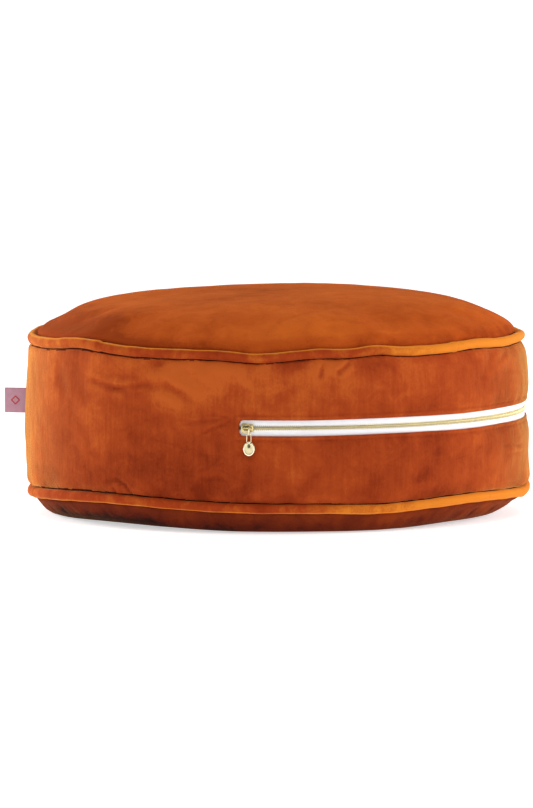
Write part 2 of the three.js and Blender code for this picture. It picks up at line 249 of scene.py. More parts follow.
def off_window(height, azimuth):
    """How far a place is beyond the ends of the zip's window, and how far above or below it."""
    middle = (WINDOW_FROM + WINDOW_TO) / 2
    half = (WINDOW_TO - WINDOW_FROM) / 2
    beyond = np.maximum(np.abs(wrapped(azimuth - middle)) - half, 0) * math.radians(1) * FACE_R
    return beyond, np.maximum(np.abs(height - zip_line(azimuth)) - WINDOW_HALF, 0)


def beside_zip(height, azimuth):
    """1 at the edge of the zip's window, fading over about 10 mm: there the band comes down to the tape."""
    away = np.hypot(*off_window(height, azimuth))
    return np.exp(-((away / (10 * MM)) ** 2))


def band_radius(height, azimuth):
    """The band's radius, drawn in to the tape at the edge of the zip's window."""
    radius = face_radius(height, azimuth)
    return radius - (radius - CHAIN_R - 2.6 * MM) * beside_zip(height, azimuth)


def ripple(azimuth):
    """The uneven pull of the stitches along a seam, about -1 to 1."""
    a = np.radians(azimuth)
    return 0.45 * np.sin(37 * a + 0.6) + 0.35 * np.sin(61 * a + 2.0) + 0.3 * np.sin(23 * a + 4.0)


def spread(points):
    """Pushes the lower seam out at the right."""
    x, z = points[:, 0], points[:, 2]
    share = np.clip(x / (300 * MM), 0, None) ** 3
    points[:, 0] = x + 7.0 * MM * share * np.exp(-(((z - LOWER_SEAM) / (24 * MM)) ** 2))
    return points


# how the band comes out from under a piping: radius from the axis, and distance from the seam, in mm
TUCK = [(0, 0), (1.0, 4.8), (4.4, 6.2), (7.4, 7.3), (9.6, 10.6)]
TUCK_RIPPLE = (0, 0.1, 0.8, 1.2, 0.8)  # how far the stitches' uneven pull moves each row, in mm
LIP = [0, 1.8, 3.6, 5.2, 6.8, 9.5]  # rows beside the zip's window, as distances from its edge in mm
STEPS_BELOW, STEPS_ABOVE = 11, 9  # rows of quads between those and the tucks
ROWS_BELOW = len(TUCK) + STEPS_BELOW + len(LIP) - 1
WINDOW_ROWS = (ROWS_BELOW - 1, ROWS_BELOW + 2)


def band_rows(azimuth):
    """The band's rows at an azimuth, from the lower seam to the upper one, as (radius, height)."""
    low, high, line = lower_seam(azimuth), upper_seam(azimuth), zip_line(azimuth)
    wave = 0.6 * ripple(azimuth + 40)
    tuck_low = [(SEAM_R + r * MM, low + (d + w * wave) * MM) for (r, d), w in zip(TUCK, TUCK_RIPPLE)]
    wave = ripple(azimuth) * (0.5 + 1.5 * hump(azimuth, -95, 20))
    tuck_high = [(SEAM_R + r * MM, high - (d + w * wave) * MM) for (r, d), w in zip(TUCK, TUCK_RIPPLE)][::-1]
    lip = WINDOW_HALF + np.array(LIP) * MM
    stations = [
        *np.linspace(tuck_low[-1][1], line - lip[-1], STEPS_BELOW + 1)[1:],
        *(line - lip[-2::-1]),
        *np.linspace(line - WINDOW_HALF, line + WINDOW_HALF, 4)[1:-1],
        *(line + lip[:-1]),
        *np.linspace(line + lip[-1], tuck_high[0][1], STEPS_ABOVE + 1)[:-1],
    ]
    return tuck_low + [(band_radius(z, azimuth), z) for z in stations] + tuck_high


# the panels' edges: inset from the seam's radius and rise from the seam, in mm
TOP_EDGE = [(0, 0), (-0.9, 5.2), (-1.4, 9.6), (1.0, 13.0)]
BASE_EDGE = [(0, 0), (-0.6, 5.0), (-0.8, 9.5)]


def dome(radius, azimuth):
    share = np.clip(radius / CROWN_R, 0, 1)
    return 9 * MM + (CROWN - UPPER_SEAM - 9 * MM) * (1 - share**2.8) ** 0.65


def panel_profile(edge):
    """A panel's radii from its middle to its seam, by ring, each with its distance from the seam's level."""
    inner = SEAM_R - edge[-1][0] * MM - 5 * MM
    radii = np.linspace(0, inner, RINGS + 1 - len(edge))
    return [(r, None) for r in radii] + [(SEAM_R - r * MM, d * MM) for r, d in reversed(edge)]


def base_depth(radius, azimuth):
    """How far below its seam the base panel is: down to the floor in the middle, and rounded at the rim."""
    flat = BASE_R - (22 * hump(azimuth, -2, 34) + 12 * hump(azimuth, -150, 16)) * MM
    share = np.clip((radius - flat) / (SEAM_R + 2 * MM - flat), 0, 1)
    return LOWER_SEAM * (1 - share**2.2) ** 0.8


def disc_points():
    """A square grid bent into a disc: for each point its ring, from 0 to RINGS, and its azimuth."""
    line = np.arange(DISC_SIDE + 1) - DISC_SIDE / 2
    a, b = np.meshgrid(line, line, indexing="ij")
    wide = np.abs(a) >= np.abs(b)
    signed = np.where(wide, a, b)
    safe = np.where(signed == 0, 1, signed)
    turn = np.where(wide, 45 * b / safe, 90 - 45 * a / safe)
    azimuth = wrapped(turn + np.where(signed < 0, 180, 0) + FIRST)
    return np.abs(signed).astype(int), azimuth


def column_of(azimuth):
    return int(round(wrapped(azimuth - FIRST) / STEP)) % COLUMNS


def bevel_window(points):
    """Takes the corners off the left end of the zip's window."""
    column = column_of(WINDOW_FROM)
    azimuth = WINDOW_FROM + math.degrees(3.2 * MM / FACE_R)
    for row in WINDOW_ROWS:
        i = row * COLUMNS + column
        radius = math.hypot(points[i][0], points[i][1])
        points[i] = polar(radius, azimuth, points[i][2])


def build_cover():
    """The whole cover as one closed mesh: points, faces, each face's part, and the band's number of rows."""
    columns = FIRST + STEP * np.arange(COLUMNS)
    rows = np.array([band_rows(a) for a in columns])
    count = rows.shape[1]
    points = [polar(rows[:, i, 0], columns, rows[:, i, 1]) for i in range(count)]
    points = list(np.concatenate(points))
    bevel_window(points)
    faces, parts = [], []
    for i in range(count - 1):
        low, high = i * COLUMNS, (i + 1) * COLUMNS
        for k in range(COLUMNS):
            n = (k + 1) % COLUMNS
            faces.append((low + k, low + n, high + n, high + k))
            parts.append(("band", i, k))
    ring, azimuth = disc_points()
    for part, profile, face, seam, way, seam_row in (
        ("top", panel_profile(TOP_EDGE), dome, upper_seam, 1, count - 1),
        ("base", panel_profile(BASE_EDGE), base_depth, lower_seam, -1, 0),
    ):
        index = np.zeros(ring.shape, int)
        for i in np.ndindex(ring.shape):
            if ring[i] == RINGS:
                index[i] = seam_row * COLUMNS + column_of(azimuth[i])
                continue
            radius, depth = profile[ring[i]]
            if depth is None:
                depth = face(radius, azimuth[i])
            near = (radius / SEAM_R) ** 3
            level = UPPER_SEAM if way > 0 else LOWER_SEAM
            height = level + (seam(azimuth[i]) - level) * near + way * depth
            index[i] = len(points)
            points.append(polar(radius, azimuth[i], max(height, 2 * FLOOR_GAP)))
        for i in range(DISC_SIDE):
            for j in range(DISC_SIDE):
                quad = (index[i, j], index[i + 1, j], index[i + 1, j + 1], index[i, j + 1])
                faces.append(quad if way > 0 else quad[::-1])
                parts.append((part, i, j))
    return points, faces, parts, count


# ---- filling the cover: cloth under pressure, sewn down along its seams ----
FRAMES = 24
BAND_LIMIT = 7 * MM  # the furthest that the filling moves the band
PANEL_LIMIT = 2.5 * MM  # and the panels


def fill(obj, hold, spare, limit):
    """Blows the cover up like a stuffed one.

    At each point, hold is how firmly it stays put and spare how much its cloth grows, from 0 to 1.
    limit is the furthest that it may move.
    """
    for name, weight in (("hold", hold), ("spare", spare)):
        group = obj.vertex_groups.new(name=name)
        for value in np.unique(np.round(weight, 2)):
            if value > 0 or name == "spare":
                group.add(np.nonzero(np.round(weight, 2) == value)[0].tolist(), float(value), "REPLACE")
    before = read_points(obj)
    cloth = obj.modifiers.new("cloth", "CLOTH")
    settings = cloth.settings
    settings.quality = 6
    settings.mass = 0.35
    settings.tension_stiffness = settings.compression_stiffness = 30
    settings.shear_stiffness = 8
    settings.bending_stiffness = 3
    settings.air_damping = 3
    settings.use_pressure = True
    settings.uniform_pressure_force = 5
    settings.vertex_group_mass = "hold"
    settings.pin_stiffness = 1
    settings.vertex_group_shrink = "spare"
    settings.shrink_min = 0
    settings.shrink_max = -0.035
    settings.effector_weights.gravity = 0
    cloth.point_cache.frame_start = 1
    cloth.point_cache.frame_end = FRAMES
    scene = bpy.context.scene
    scene.frame_start, scene.frame_end = 1, FRAMES
    for number in range(1, FRAMES + 1):
        scene.frame_set(number)
    settle(obj)
    scene.frame_set(1)
    after = read_points(obj)
    move = after - before
    length = np.linalg.norm(move, axis=1)[:, None]
    capped = limit[:, None] * np.tanh(length / limit[:, None])
    write_points(obj, before + move * capped / np.maximum(length, 1e-9))


def make_cover():
    points, faces, parts, count = build_cover()
    cover = new_mesh("cover", points, faces)
    co = read_points(cover)
    azimuth = azimuth_of(co)
    row = np.full(len(co), -1)
    row[: count * COLUMNS] = np.repeat(np.arange(count), COLUMNS)
    seams = (row == 0) | (row == count - 1)
    near_seam = (row == 1) | (row == count - 2)
    along = (azimuth > WINDOW_FROM - 0.2) & (azimuth < WINDOW_TO + 0.2)
    zipped = (row >= WINDOW_ROWS[0]) & (row <= WINDOW_ROWS[1]) & along
    on_floor = (co[:, 2] < 3 * MM) & (row < 0)
    hold = np.where(seams | zipped | on_floor, 1.0, np.where(near_seam, 0.6, 0.0))
    low, high = lower_seam(azimuth), upper_seam(azimuth)
    edge = np.minimum(np.abs(co[:, 2] - low), np.abs(co[:, 2] - high))
    spare = 0.35 + 0.65 * np.exp(-((edge / (30 * MM)) ** 2))
    spare = np.where(row < 0, 0.05, spare)
    band_limit = BAND_LIMIT * np.clip((edge - 6 * MM) / (18 * MM), 0.12, 1)
    fill(cover, hold, spare, np.where(row < 0, PANEL_LIMIT, band_limit))
    co = read_points(cover)
    # the crown is levelled to the frame's, and then stands a little higher to the right
    above = (row < 0) & (co[:, 2] > UPPER_SEAM)
    rise = co[above, 2] - UPPER_SEAM
    co[above, 2] = UPPER_SEAM + rise * (CROWN - 0.3 * MM - UPPER_SEAM) / rise.max()
    share = np.hypot(co[above, 0], co[above, 1]) / CROWN_R
    co[above, 2] += 2.4 * MM * co[above, 0] / CROWN_R * (1 - share**10)
    co[:, 2] = np.maximum(co[:, 2], FLOOR_GAP)
    write_points(cover, spread(co))
    return cover, parts


def cut_out(cover, name, wanted):
    """A piece of the cover's mesh: the faces whose number is wanted."""
    mesh = bmesh.new()
    mesh.from_mesh(cover.data)
    mesh.faces.ensure_lookup_table()
    bmesh.ops.delete(mesh, geom=[f for f in mesh.faces if not wanted[f.index]], context="FACES")
    data = bpy.data.meshes.new(name)
    mesh.to_mesh(data)
    mesh.free()
    data.shade_smooth()
    return new_object(name, data)


cover, cover_parts = make_cover()
BACK_SEAM_AT = 82  # azimuth of the seam that joins the two band strips at the back
SIDE_COLUMN = column_of(LABEL_AT)
BACK_COLUMN = column_of(BACK_SEAM_AT)


def is_window(part, row, column):
    if part != "band" or not WINDOW_ROWS[0] <= row < WINDOW_ROWS[1]:
        return False
    azimuth = wrapped(FIRST + STEP * (column + 0.5))
    return WINDOW_FROM < azimuth < WINDOW_TO


def on_back(part, column):
    return part == "band" and BACK_COLUMN <= column < SIDE_COLUMN


top_cloth = cut_out(cover, "top_panel_velvet", [p[0] == "top" for p in cover_parts])
base_cloth = cut_out(cover, "base_panel_velvet", [p[0] == "base" for p in cover_parts])
back_cloth = cut_out(cover, "band_back_velvet", [on_back(p[0], p[2]) for p in cover_parts])
zip_cloth = cut_out(
    cover,
    "band_zip_velvet",
    [p[0] == "band" and not on_back(p[0], p[2]) and not is_window(*p) for p in cover_parts],
)
pad_source = cut_out(cover, "pad_source", [p[0] == "band" for p in cover_parts])
for piece in (top_cloth, base_cloth, back_cloth, zip_cloth, pad_source):
    refine(piece)


# ---- relief: what the sewing and the filling leave on the cloth, finer than the cloth's grid, and painted light and shade on it ----
def lumps(points, size, seed):
    """A smooth random field, about -1 to 1, with lumps of about a size."""
    random = np.random.default_rng(seed)
    field = np.zeros(len(points))
    for _ in range(28):
        way = random.normal(size=3)
        way *= 2 * math.pi / (size * random.uniform(0.7, 1.6)) / np.linalg.norm(way)
        field += np.sin(points @ way + random.uniform(0, 2 * math.pi))
    return field / math.sqrt(28)


def crease(azimuth, height, start, end, width, depth):
    """A groove from start to end, each (azimuth in degrees, height in mm); it fades out at both ends."""
    x, y = wrapped(azimuth - start[0]) * math.radians(1) * FACE_R, height - start[1] * MM
    dx, dy = wrapped(end[0] - start[0]) * math.radians(1) * FACE_R, (end[1] - start[1]) * MM
    length = math.hypot(dx, dy)
    along = (x * dx + y * dy) / length**2
    across = (y * dx - x * dy) / length / (width * MM)
    along = np.clip(along, -20, 21)
    fade = 1 / (1 + np.exp(-24 * along)) / (1 + np.exp(24 * (along - 1)))
    beside = np.exp(-((across - 1.7) ** 2)) + np.exp(-((across + 1.7) ** 2))
    return -depth * MM * (np.exp(-(across**2)) - 0.45 * beside) * fade


# start, end, width in mm, depth in mm
BAND_CREASES = [
    ((-100.8, 141), (-105, 145), 2.2, 0.7),
    ((-100.4, 136), (-107, 121), 2.2, 1.0),
    ((-100.8, 139), (-110, 133), 2.6, 0.7),
    ((-138, 178), (-126, 166), 4.0, 1.6),
    ((-130, 170), (-121, 176), 3.4, 1.4),
    ((-118, 186), (-110, 160), 6.0, 1.2),
    ((-97.0, 141), (-98.5, 156), 3.5, 0.9),
    ((-128, 188), (-112, 168), 5.5, 1.1),
    ((-124, 168), (-115, 178), 6.5, 0.9),
    ((-125.2, 42), (-126.6, 54), 2.6, 1.5),
    ((-126.4, 54), (-129.4, 61), 2.6, 1.5),
    ((-129, 61), (-133, 56), 3.0, 1.2),
    ((-130.6, 51), (-130.0, 45), 2.6, 1.4),
    ((-30.5, 205), (-35.5, 176), 7.0, 0.8),
    ((-22, 206), (-29, 192), 4.0, 1.1),
    ((-73, 205), (-76, 192), 3.4, 1.8),
    ((-79, 205), (-80, 188), 3.4, 1.6),
    ((-66, 206), (-62, 196), 4.0, 1.0),
    ((-24, 182), (-15, 176), 2.6, 0.8),
    ((-23, 172), (-14, 170), 2.4, 0.7),
    ((-26, 92), (-15, 88), 2.6, 0.9),
    ((-24, 80), (-14, 79), 2.4, 0.8),
    ((-20, 98), (-12, 104), 2.2, 0.6),
    ((-112, 200), (-106, 176), 6.0, 0.8),
    ((-96, 202), (-95, 180), 6.0, 0.9),
    ((-150, 196), (-147, 150), 9.0, 0.8),
    ((-58, 60), (-50, 84), 9.0, 0.7),
    ((-85, 48), (-80, 80), 9.0, 0.8),
    ((60, 200), (63, 170), 6.0, 1.0),
    ((20, 203), (23, 180), 5.0, 1.2),
    ((110, 200), (114, 172), 6.0, 1.2),
    ((140, 45), (136, 70), 6.0, 1.2),
    ((72.5, 134), (78, 146), 3.0, 1.2),
    ((72.5, 123), (79, 114), 3.2, 1.1),
]


def band_relief(points):
    azimuth = azimuth_of(points)
    height = points[:, 2]
    out = np.zeros(len(points))
    for start, end, width, depth in BAND_CREASES:
        out += crease(azimuth, height, start, end, width, depth)
    beyond, beside = off_window(height, azimuth)
    away = np.hypot(beyond, beside) / MM
    fold = 0.7 * np.exp(-(((away - 2.4) / 2.0) ** 2)) - 0.75 * np.exp(-(((away - 5.6) / 1.3) ** 2))
    fold *= np.exp(-((beyond / (3.4 * MM)) ** 2))
    out += fold * MM * (0.75 + 0.25 * np.sin(azimuth * 1.7) * np.sin(azimuth * 0.63 + 1))
    below_upper = (upper_seam(azimuth) - height) / MM
    above_lower = (height - lower_seam(azimuth)) / MM
    ruffle = lumps(np.stack([azimuth / 9, 0 * azimuth, 0 * azimuth], 1), 1.0, 5)
    strong = 0.35 + 1.1 * hump(azimuth, -110, 16) + 0.9 * hump(azimuth, -77, 5) + 0.2 * hump(azimuth, -30, 6)
    out -= 1.6 * MM * np.maximum(ruffle, -0.3) * strong * np.exp(-(((below_upper - 12) / 8) ** 2))
    out -= 0.8 * MM * ruffle * np.exp(-(((above_lower - 13) / 8) ** 2))
    for seam_azimuth in (LABEL_AT, BACK_SEAM_AT):
        off = np.abs(wrapped(azimuth - seam_azimuth)) * math.radians(1) * FACE_R / MM
        out -= 2.6 * MM * np.exp(-((off / 2.2) ** 2))
    out += 0.55 * MM * lumps(points, 90 * MM, 3) + 0.22 * MM * lumps(points, 24 * MM, 4)
    rim = np.clip((np.minimum(below_upper, above_lower) - 3) / 6, 0, 1)
    at_window = np.clip(away / 1.5, 0.35, 1)
    return out * rim * at_window


def paint_light_and_shade(obj, amount):
    """Stores painted light and shade at each point, in the attribute named pile: more is lighter, by about a
    shade for 0.3.
    """
    painted_shading = obj.data.attributes.new("pile", "FLOAT", "POINT")
    painted_shading.data.foreach_set("value", np.asarray(amount, dtype=np.float32))


def relieve_band(obj):
    points = read_points(obj)
    azimuth = azimuth_of(points)
    relief = band_relief(points)
    high = (points[:, 2] - ZIP_Z) / (70 * MM)
    above, below = np.clip(high, 0, 1), np.clip(-high, 0, 1)
    # painted light and shade, kept in the pile attribute: ridges lighter and grooves darker, lighter towards
    # the top, lighter high at the front left and darker low there, and a painted sheen at the left side
    brushed = 0.11 * relief / MM + 0.1 * high * (hump(azimuth, -118, 34) + 0.6 * hump(azimuth, -40, 40))
    brushed += above * (0.28 * hump(azimuth, -106, 13) + 0.05 * hump(azimuth, -62, 14))
    brushed += 0.03 * hump(azimuth, -58, 24) - 0.1 * below * hump(azimuth, -108, 14)
    paint_light_and_shade(obj, brushed + 0.06 * hump(azimuth, -140, 26) + 0.2 * hump(azimuth, -178, 14))
    write_points(obj, points + outward(points) * relief[:, None])


def relieve_top(obj):
    points = read_points(obj)
    x, y = points[:, 0] / MM, points[:, 1] / MM
    r = np.hypot(x, y)
    azimuth = azimuth_of(points)
    dent = -3.0 * np.exp(-((((x + 65) / 125) ** 2 + ((y + 20) / 135) ** 2) ** 2))
    line = (y + 235) - 0.9 * (x - 5)
    slope = -0.9 * np.exp(-((line / 5) ** 2)) * np.exp(-(((x - 30) / 34) ** 2))
    pucker = lumps(np.stack([azimuth / 5.5, 0 * r, 0 * r], 1), 1.0, 8)
    rim = 0.7 * pucker * np.exp(-(((r - 279) / 9) ** 2))
    uneven = 0.5 * lumps(points, 110 * MM, 6) + 0.16 * lumps(points, 30 * MM, 7)
    down = (dent + slope + rim + uneven) * MM
    fade = np.clip((289 - r) / 8, 0, 1)
    ledge = 2.8 * MM * np.exp(-(((r - 268) / 15) ** 2)) * hump(azimuth, 180, 30)
    points[:, 2] += down * fade - ledge
    # painted shade, kept in the pile attribute: the dents darker by their depth, a painted shade on the left
    # shoulder, and darker towards the seam
    painted_shade_left = np.clip((r - 190) / 80, 0, 1) * hump(azimuth, -172, 30)
    paint_light_and_shade(obj, 0.12 + 0.06 * down / MM - 0.55 * painted_shade_left - 0.3 * np.clip((r - 272) / 14, 0, 1))
    write_points(obj, points)


def relieve_base(obj):
    points = read_points(obj)
    r = np.hypot(points[:, 0], points[:, 1]) / MM
    azimuth = azimuth_of(points)
    pucker = lumps(np.stack([azimuth / 3.2, 0 * r, 0 * r], 1), 1.0, 9)
    gather = 0.4 + 1.4 * hump(azimuth, -28, 14) + 0.6 * hump(azimuth, -150, 12)
    amount = 1.2 * MM * pucker * gather * np.exp(-(((r - 280) / 9) ** 2)) * np.clip((288 - r) / 6, 0, 1)
    points += outward(points) * amount[:, None]
    points[:, 2] = np.maximum(points[:, 2], FLOOR_GAP)
    # painted shade, kept in the pile attribute: a painted contact shadow near the floor, widest and darkest
    # at the front left, puckers shaded by their depth, and darker at the front left
    shade = hump(azimuth, -138, 20)
    low = np.exp(-((points[:, 2] / MM / (13 + 2 * shade)) ** 2))
    under = 0.22 + 0.5 * shade
    paint_light_and_shade(obj, 0.08 * amount / MM - under * low - 0.09 * hump(azimuth, -150, 26) + 0.15)
    write_points(obj, points)


relieve_top(top_cloth)
relieve_base(base_cloth)
relieve_band(zip_cloth)
relieve_band(back_cloth)
VELVET_THICKNESS = 1.3 * MM
CALICO_THICKNESS = 0.8 * MM
for piece in (top_cloth, base_cloth, back_cloth, zip_cloth):
    thicken(piece, VELVET_THICKNESS)
thicken(pad_source, CALICO_THICKNESS)


# ---- the pad and its filling, inside ----
def shrunk(name, source, wide, tall):
    """A piece like a source mesh, drawn in towards the cushion's middle."""
    obj = new_object(name, source.data.copy())
    points = read_points(obj)
    middle = (UPPER_SEAM + LOWER_SEAM) / 2
    points[:, :2] *= wide
    points[:, 2] = middle + (points[:, 2] - middle) * tall
    write_points(obj, points)
    return obj


# ---- piping ----
def sweep(name, path, radius, sides, closed=True, spin=None, lobes=None):
    """A tube round a path of points.

    spin is a way that lies across the whole path, where it isn't the way out from the axis.
    lobes is (how many strands, how deep the grooves are, turns in all).
    """
    path = np.asarray(path, float)
    count = len(path)
    radius = np.broadcast_to(radius, count)
    if closed:
        along = np.roll(path, -1, axis=0) - np.roll(path, 1, axis=0)
    else:
        along = np.gradient(path, axis=0)
    along /= np.linalg.norm(along, axis=1)[:, None]
    out = path * (1, 1, 0) if spin is None else np.broadcast_to(np.asarray(spin, float), path.shape)
    out = out - np.sum(out * along, axis=1)[:, None] * along
    out /= np.linalg.norm(out, axis=1)[:, None]
    up = np.cross(along, out)
    rings = []
    for i in range(sides):
        angle = 2 * math.pi * i / sides
        size = radius.copy()
        if lobes:
            strands, depth, turns = lobes
            twist = 2 * math.pi * turns * np.arange(count) / count
            size *= 1 - depth * (0.5 + 0.5 * np.cos(strands * angle + twist))
        rings.append(path + size[:, None] * (math.cos(angle) * out + math.sin(angle) * up))
    points = np.stack(rings, axis=1).reshape(-1, 3)
    obj = new_mesh(name, points, tube_faces(count, sides, closed))
    face_out(obj)
    return obj


def piping_path(azimuth, seam, phase):
    a = np.radians(azimuth)
    radial = PIPING_R + 0.5 * MM * np.sin(7 * a + phase) + 0.3 * MM * np.sin(13 * a + 2 * phase)
    return spread(polar(radial, azimuth, seam(azimuth)))


def piping(name, seam, phase, joins, sheen_side):
    """A piped edge: the cloth round the cord, with the diagonal joins of its strips.

    sheen_side says where a painted sheen lies along the rim, the side away from the band: 1 above it and -1
    below it.
    """
    azimuth = np.arange(0, 360, 0.4)
    a = np.radians(azimuth)
    thick = PIPING_WIDTH / 2 + (0.16 * np.sin(31 * a + phase) + 0.12 * np.sin(57 * a) + 0.05) * MM
    thick += 0.7 * MM * hump(azimuth, -160, 26)
    for join in joins:
        thick = thick + 0.55 * MM * hump(azimuth, join, 0.9) - 0.7 * MM * hump(azimuth, join + 1.2, 0.35)
    sides = 24
    obj = sweep(name, piping_path(azimuth, seam, phase), thick, sides)
    rim = hump(np.tile(np.arange(sides) * 360 / sides, len(azimuth)), -76 * sheen_side, 13)
    azimuth = np.repeat(wrapped(azimuth), sides)
    # painted light: lighter to the right and a little at the left end, a painted shade in the front middle,
    # and a painted sheen along the rim
    right = 0.25 * (1 + np.tanh((azimuth + 64) / 15)) * (1 + np.tanh((140 - azimuth) / 20))
    painted_shade_middle = hump(azimuth, -112 + 8 * sheen_side, 31 - 5 * sheen_side)
    paint_light_and_shade(obj, 0.42 * right + 0.07 * hump(azimuth, -165, 24) - 0.16 * painted_shade_middle + 0.6 * rim)
    return obj


upper_piping = piping("upper_piping_velvet", upper_seam, 0.4, (-136, -44, 12, 131), 1)
lower_piping = piping("lower_piping_velvet", lower_seam, 2.1, (-168, -12, 95), -1)


def cord(name, seam, phase):
    azimuth = np.arange(0, 360, 0.5)
    path = piping_path(azimuth, seam, phase)
    return sweep(name, path, PIPING_WIDTH / 2 - 1.7 * MM, sides=12, lobes=(3, 0.16, 130))


upper_cord = cord("upper_piping_cord_twisted", upper_seam, 0.4)
lower_cord = cord("lower_piping_cord_twisted", lower_seam, 2.1)


# ---- the zip ----
def at_station(azimuth, points):
    """Takes points (along the band, out from the axis, up), in metres, to their place at an azimuth."""
    points = np.asarray(points, float)
    a = math.radians(azimuth)
    along = np.array((-math.sin(a), math.cos(a), 0))
    out = np.array((math.cos(a), math.sin(a), 0))
    return points[:, :1] * along + points[:, 1:2] * out + points[:, 2:] * np.array((0, 0, 1))


def prism(outline, layers):
    """Points and faces of a shape built on an outline of (x, z): layers are (y, inset towards the middle)."""
    outline = np.asarray(outline, float)
    middle = outline.mean(axis=0)
    away = outline - middle
    length = np.linalg.norm(away, axis=1)[:, None]
    points = []
    for y, inset in layers:
        ring = middle + away * (1 - inset / np.maximum(length, 1e-9))
        points += [(x, y, z) for x, z in ring]
    return np.array(points), tube_faces(len(layers), len(outline))


def gathered(name, parts):
    """One object from several (points, faces)."""
    points, faces, base = [], [], 0
    for some_points, some_faces in parts:
        points.append(some_points)
        faces += [tuple(base + i for i in face) for face in some_faces]
        base += len(some_points)
    obj = new_mesh(name, np.concatenate(points), faces)
    face_out(obj)
    return obj


def soften(obj, width):
    """Rounds an object's sharp edges."""
    modifier = obj.modifiers.new("soften", "BEVEL")
    modifier.width = width
    modifier.segments = 2
    modifier.limit_method = "ANGLE"
    modifier.angle_limit = math.radians(35)
    settle(obj)
    obj.data.shade_smooth()
    return obj


TOOTH_PITCH = 2.45 * MM
TOOTH_SIDE = [(0.24, -0.95), (0.44, -0.72), (0.44, 0.55), (0.38, 0.95), (0.38, 3.0), (0.24, 3.2)]  # (x, z)
TOOTH = [(-x, z) for x, z in TOOTH_SIDE[1::-1]] + TOOTH_SIDE + [(-x, z) for x, z in TOOTH_SIDE[:1:-1]]
TOOTH_LAYERS = [(-1.2, 0.16), (-1.02, 0), (1.02, 0), (1.2, 0.16)]
CHAIN_FROM, CHAIN_TO = -96.6, 70.0


def teeth(name, side):
    points, faces = prism(TOOTH, TOOTH_LAYERS)
    points = points * MM
    pitch = math.degrees(TOOTH_PITCH / CHAIN_R)
    count = int((CHAIN_TO - CHAIN_FROM) / pitch)
    parts = []
    for i in range(count):
        azimuth = CHAIN_FROM + pitch * (i + (0.5 if side < 0 else 0))
        placed = points * (1, 1, side) + (0, CHAIN_R, ZIP_Z)
        parts.append((at_station(azimuth, placed), faces))
    return gathered(name, parts)


upper_teeth = teeth("zip_teeth_upper_brass", 1)
lower_teeth = teeth("zip_teeth_lower_brass", -1)


TAPE_OVERRUN = 1.4  # degrees of tape hidden past each end of the window


def tape(name, side):
    """A woven tape with a thicker beaded edge at the teeth."""
    azimuth = np.arange(WINDOW_FROM - TAPE_OVERRUN, WINDOW_TO + TAPE_OVERRUN + 0.01, 0.7)
    across = [(0.55, 1.8), (0.35, 2.6), (0.35, 9), (0.35, 16.6), (0.2, 17.1)]
    outline = across + [(-thick, d) for thick, d in reversed(across)]
    points = []
    for thick, d in outline:
        points.append(polar(CHAIN_R + thick * MM, azimuth, ZIP_Z + side * d * MM))
    points = np.stack(points, axis=1)
    obj = new_mesh(name, points.reshape(-1, 3), tube_faces(*points.shape[:2]))
    face_out(obj)
    return obj


upper_tape = tape("zip_tape_upper_woven", 1)
lower_tape = tape("zip_tape_lower_woven", -1)


def oblong(half_x, low, high, corner, steps=5):
    """The outline of an oblong with rounded corners, as (x, z)."""
    corners = ((half_x - corner, high - corner, 0), (corner - half_x, high - corner, 90))
    corners += ((corner - half_x, low + corner, 180), (half_x - corner, low + corner, 270))
    line = []
    for x, z, first in corners:
        for i in range(steps + 1):
            turn = math.radians(first + 90 * i / steps)
            line.append((x + corner * math.cos(turn), z + corner * math.sin(turn)))
    return line


def stop(name, azimuth, half_x, low, high, thick):
    """A little stop clamped on the face of a tape, with rounded ends."""
    points, faces = prism(
        oblong(half_x, low, high, min(half_x, (high - low) / 2) * 0.9),
        [(0.65, 0), (0.65 + 0.7 * thick, 0), (0.65 + 0.93 * thick, 0.2), (0.65 + thick, 0.45)],
    )
    return gathered(name, [(at_station(azimuth, points * MM + (0, CHAIN_R, ZIP_Z)), faces)])


top_stop_upper = stop("zip_top_stop_upper_metal", -98.3, 0.8, 0.8, 3.0, 1.2)
top_stop_lower = stop("zip_top_stop_lower_metal", -98.3, 0.8, -3.0, -0.8, 1.2)
bottom_stop = stop("zip_bottom_stop_metal", 70.85, 1.5, -3.2, 3.2, 1.5)


# ---- the slider and its pull; x runs along the zip, y out from the chain, z up, all in mm ----
NOSE_X, TAIL_X = -7.5, 7.5
PLATE_IN, PLATE_OUT = 2.05, 3.35
BAR_OUT = (Vector(joint("link_swing")["pos_m"]).xy.length - CHAIN_R) / MM
WIRE = 0.5


def below_zip(node):
    """A node's lowest and highest levels from the zip's line, in mm."""
    low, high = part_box(node)
    return (low.z - ZIP_Z) / MM, (high.z - ZIP_Z) / MM


def slider_half_width(x):
    """The slider's half width along it: round at the nose, narrower at the tail."""
    share = np.clip((x + 1.0) / 4.0, 0, 1)
    width = 5.7 - 1.05 * share * share * (3 - 2 * share)
    nose = np.clip((x - NOSE_X) / 3.2, 0, 1)
    tail = np.clip((TAIL_X - x) / 1.0, 0, 1)
    return width * np.sqrt(1 - (1 - nose) ** 2 * 0.62) * np.sqrt(1 - (1 - tail) ** 2 * 0.25)


def slider_outline():
    x = np.concatenate([np.linspace(NOSE_X, -4, 9), np.linspace(-3, 6, 10), np.linspace(6.6, TAIL_X, 4)])
    half = slider_half_width(x)
    return [*zip(x, -half), *zip(x[::-1], half[::-1])]


def oblong_at(x, z, half_x, half_z):
    """The outline of a level oblong with round ends."""
    return [(x + px, z + pz) for px, pz in oblong(half_x, -half_z, half_z, half_z * 0.98, 4)]


def lip(side, way):
    """A slider's lip: a thin wall along one edge of a plate, towards the tape's slot."""
    x = np.linspace(-6.6, 7.2, 18)
    outer = side * (slider_half_width(x) - 0.1)
    inner = side * (slider_half_width(x) - 1.0)
    outline = [*zip(x, outer), *zip(x[::-1], inner[::-1])]
    if side < 0:
        outline = outline[::-1]
    return prism(outline, [(way * 2.3, 0), (way * 0.85, 0)])


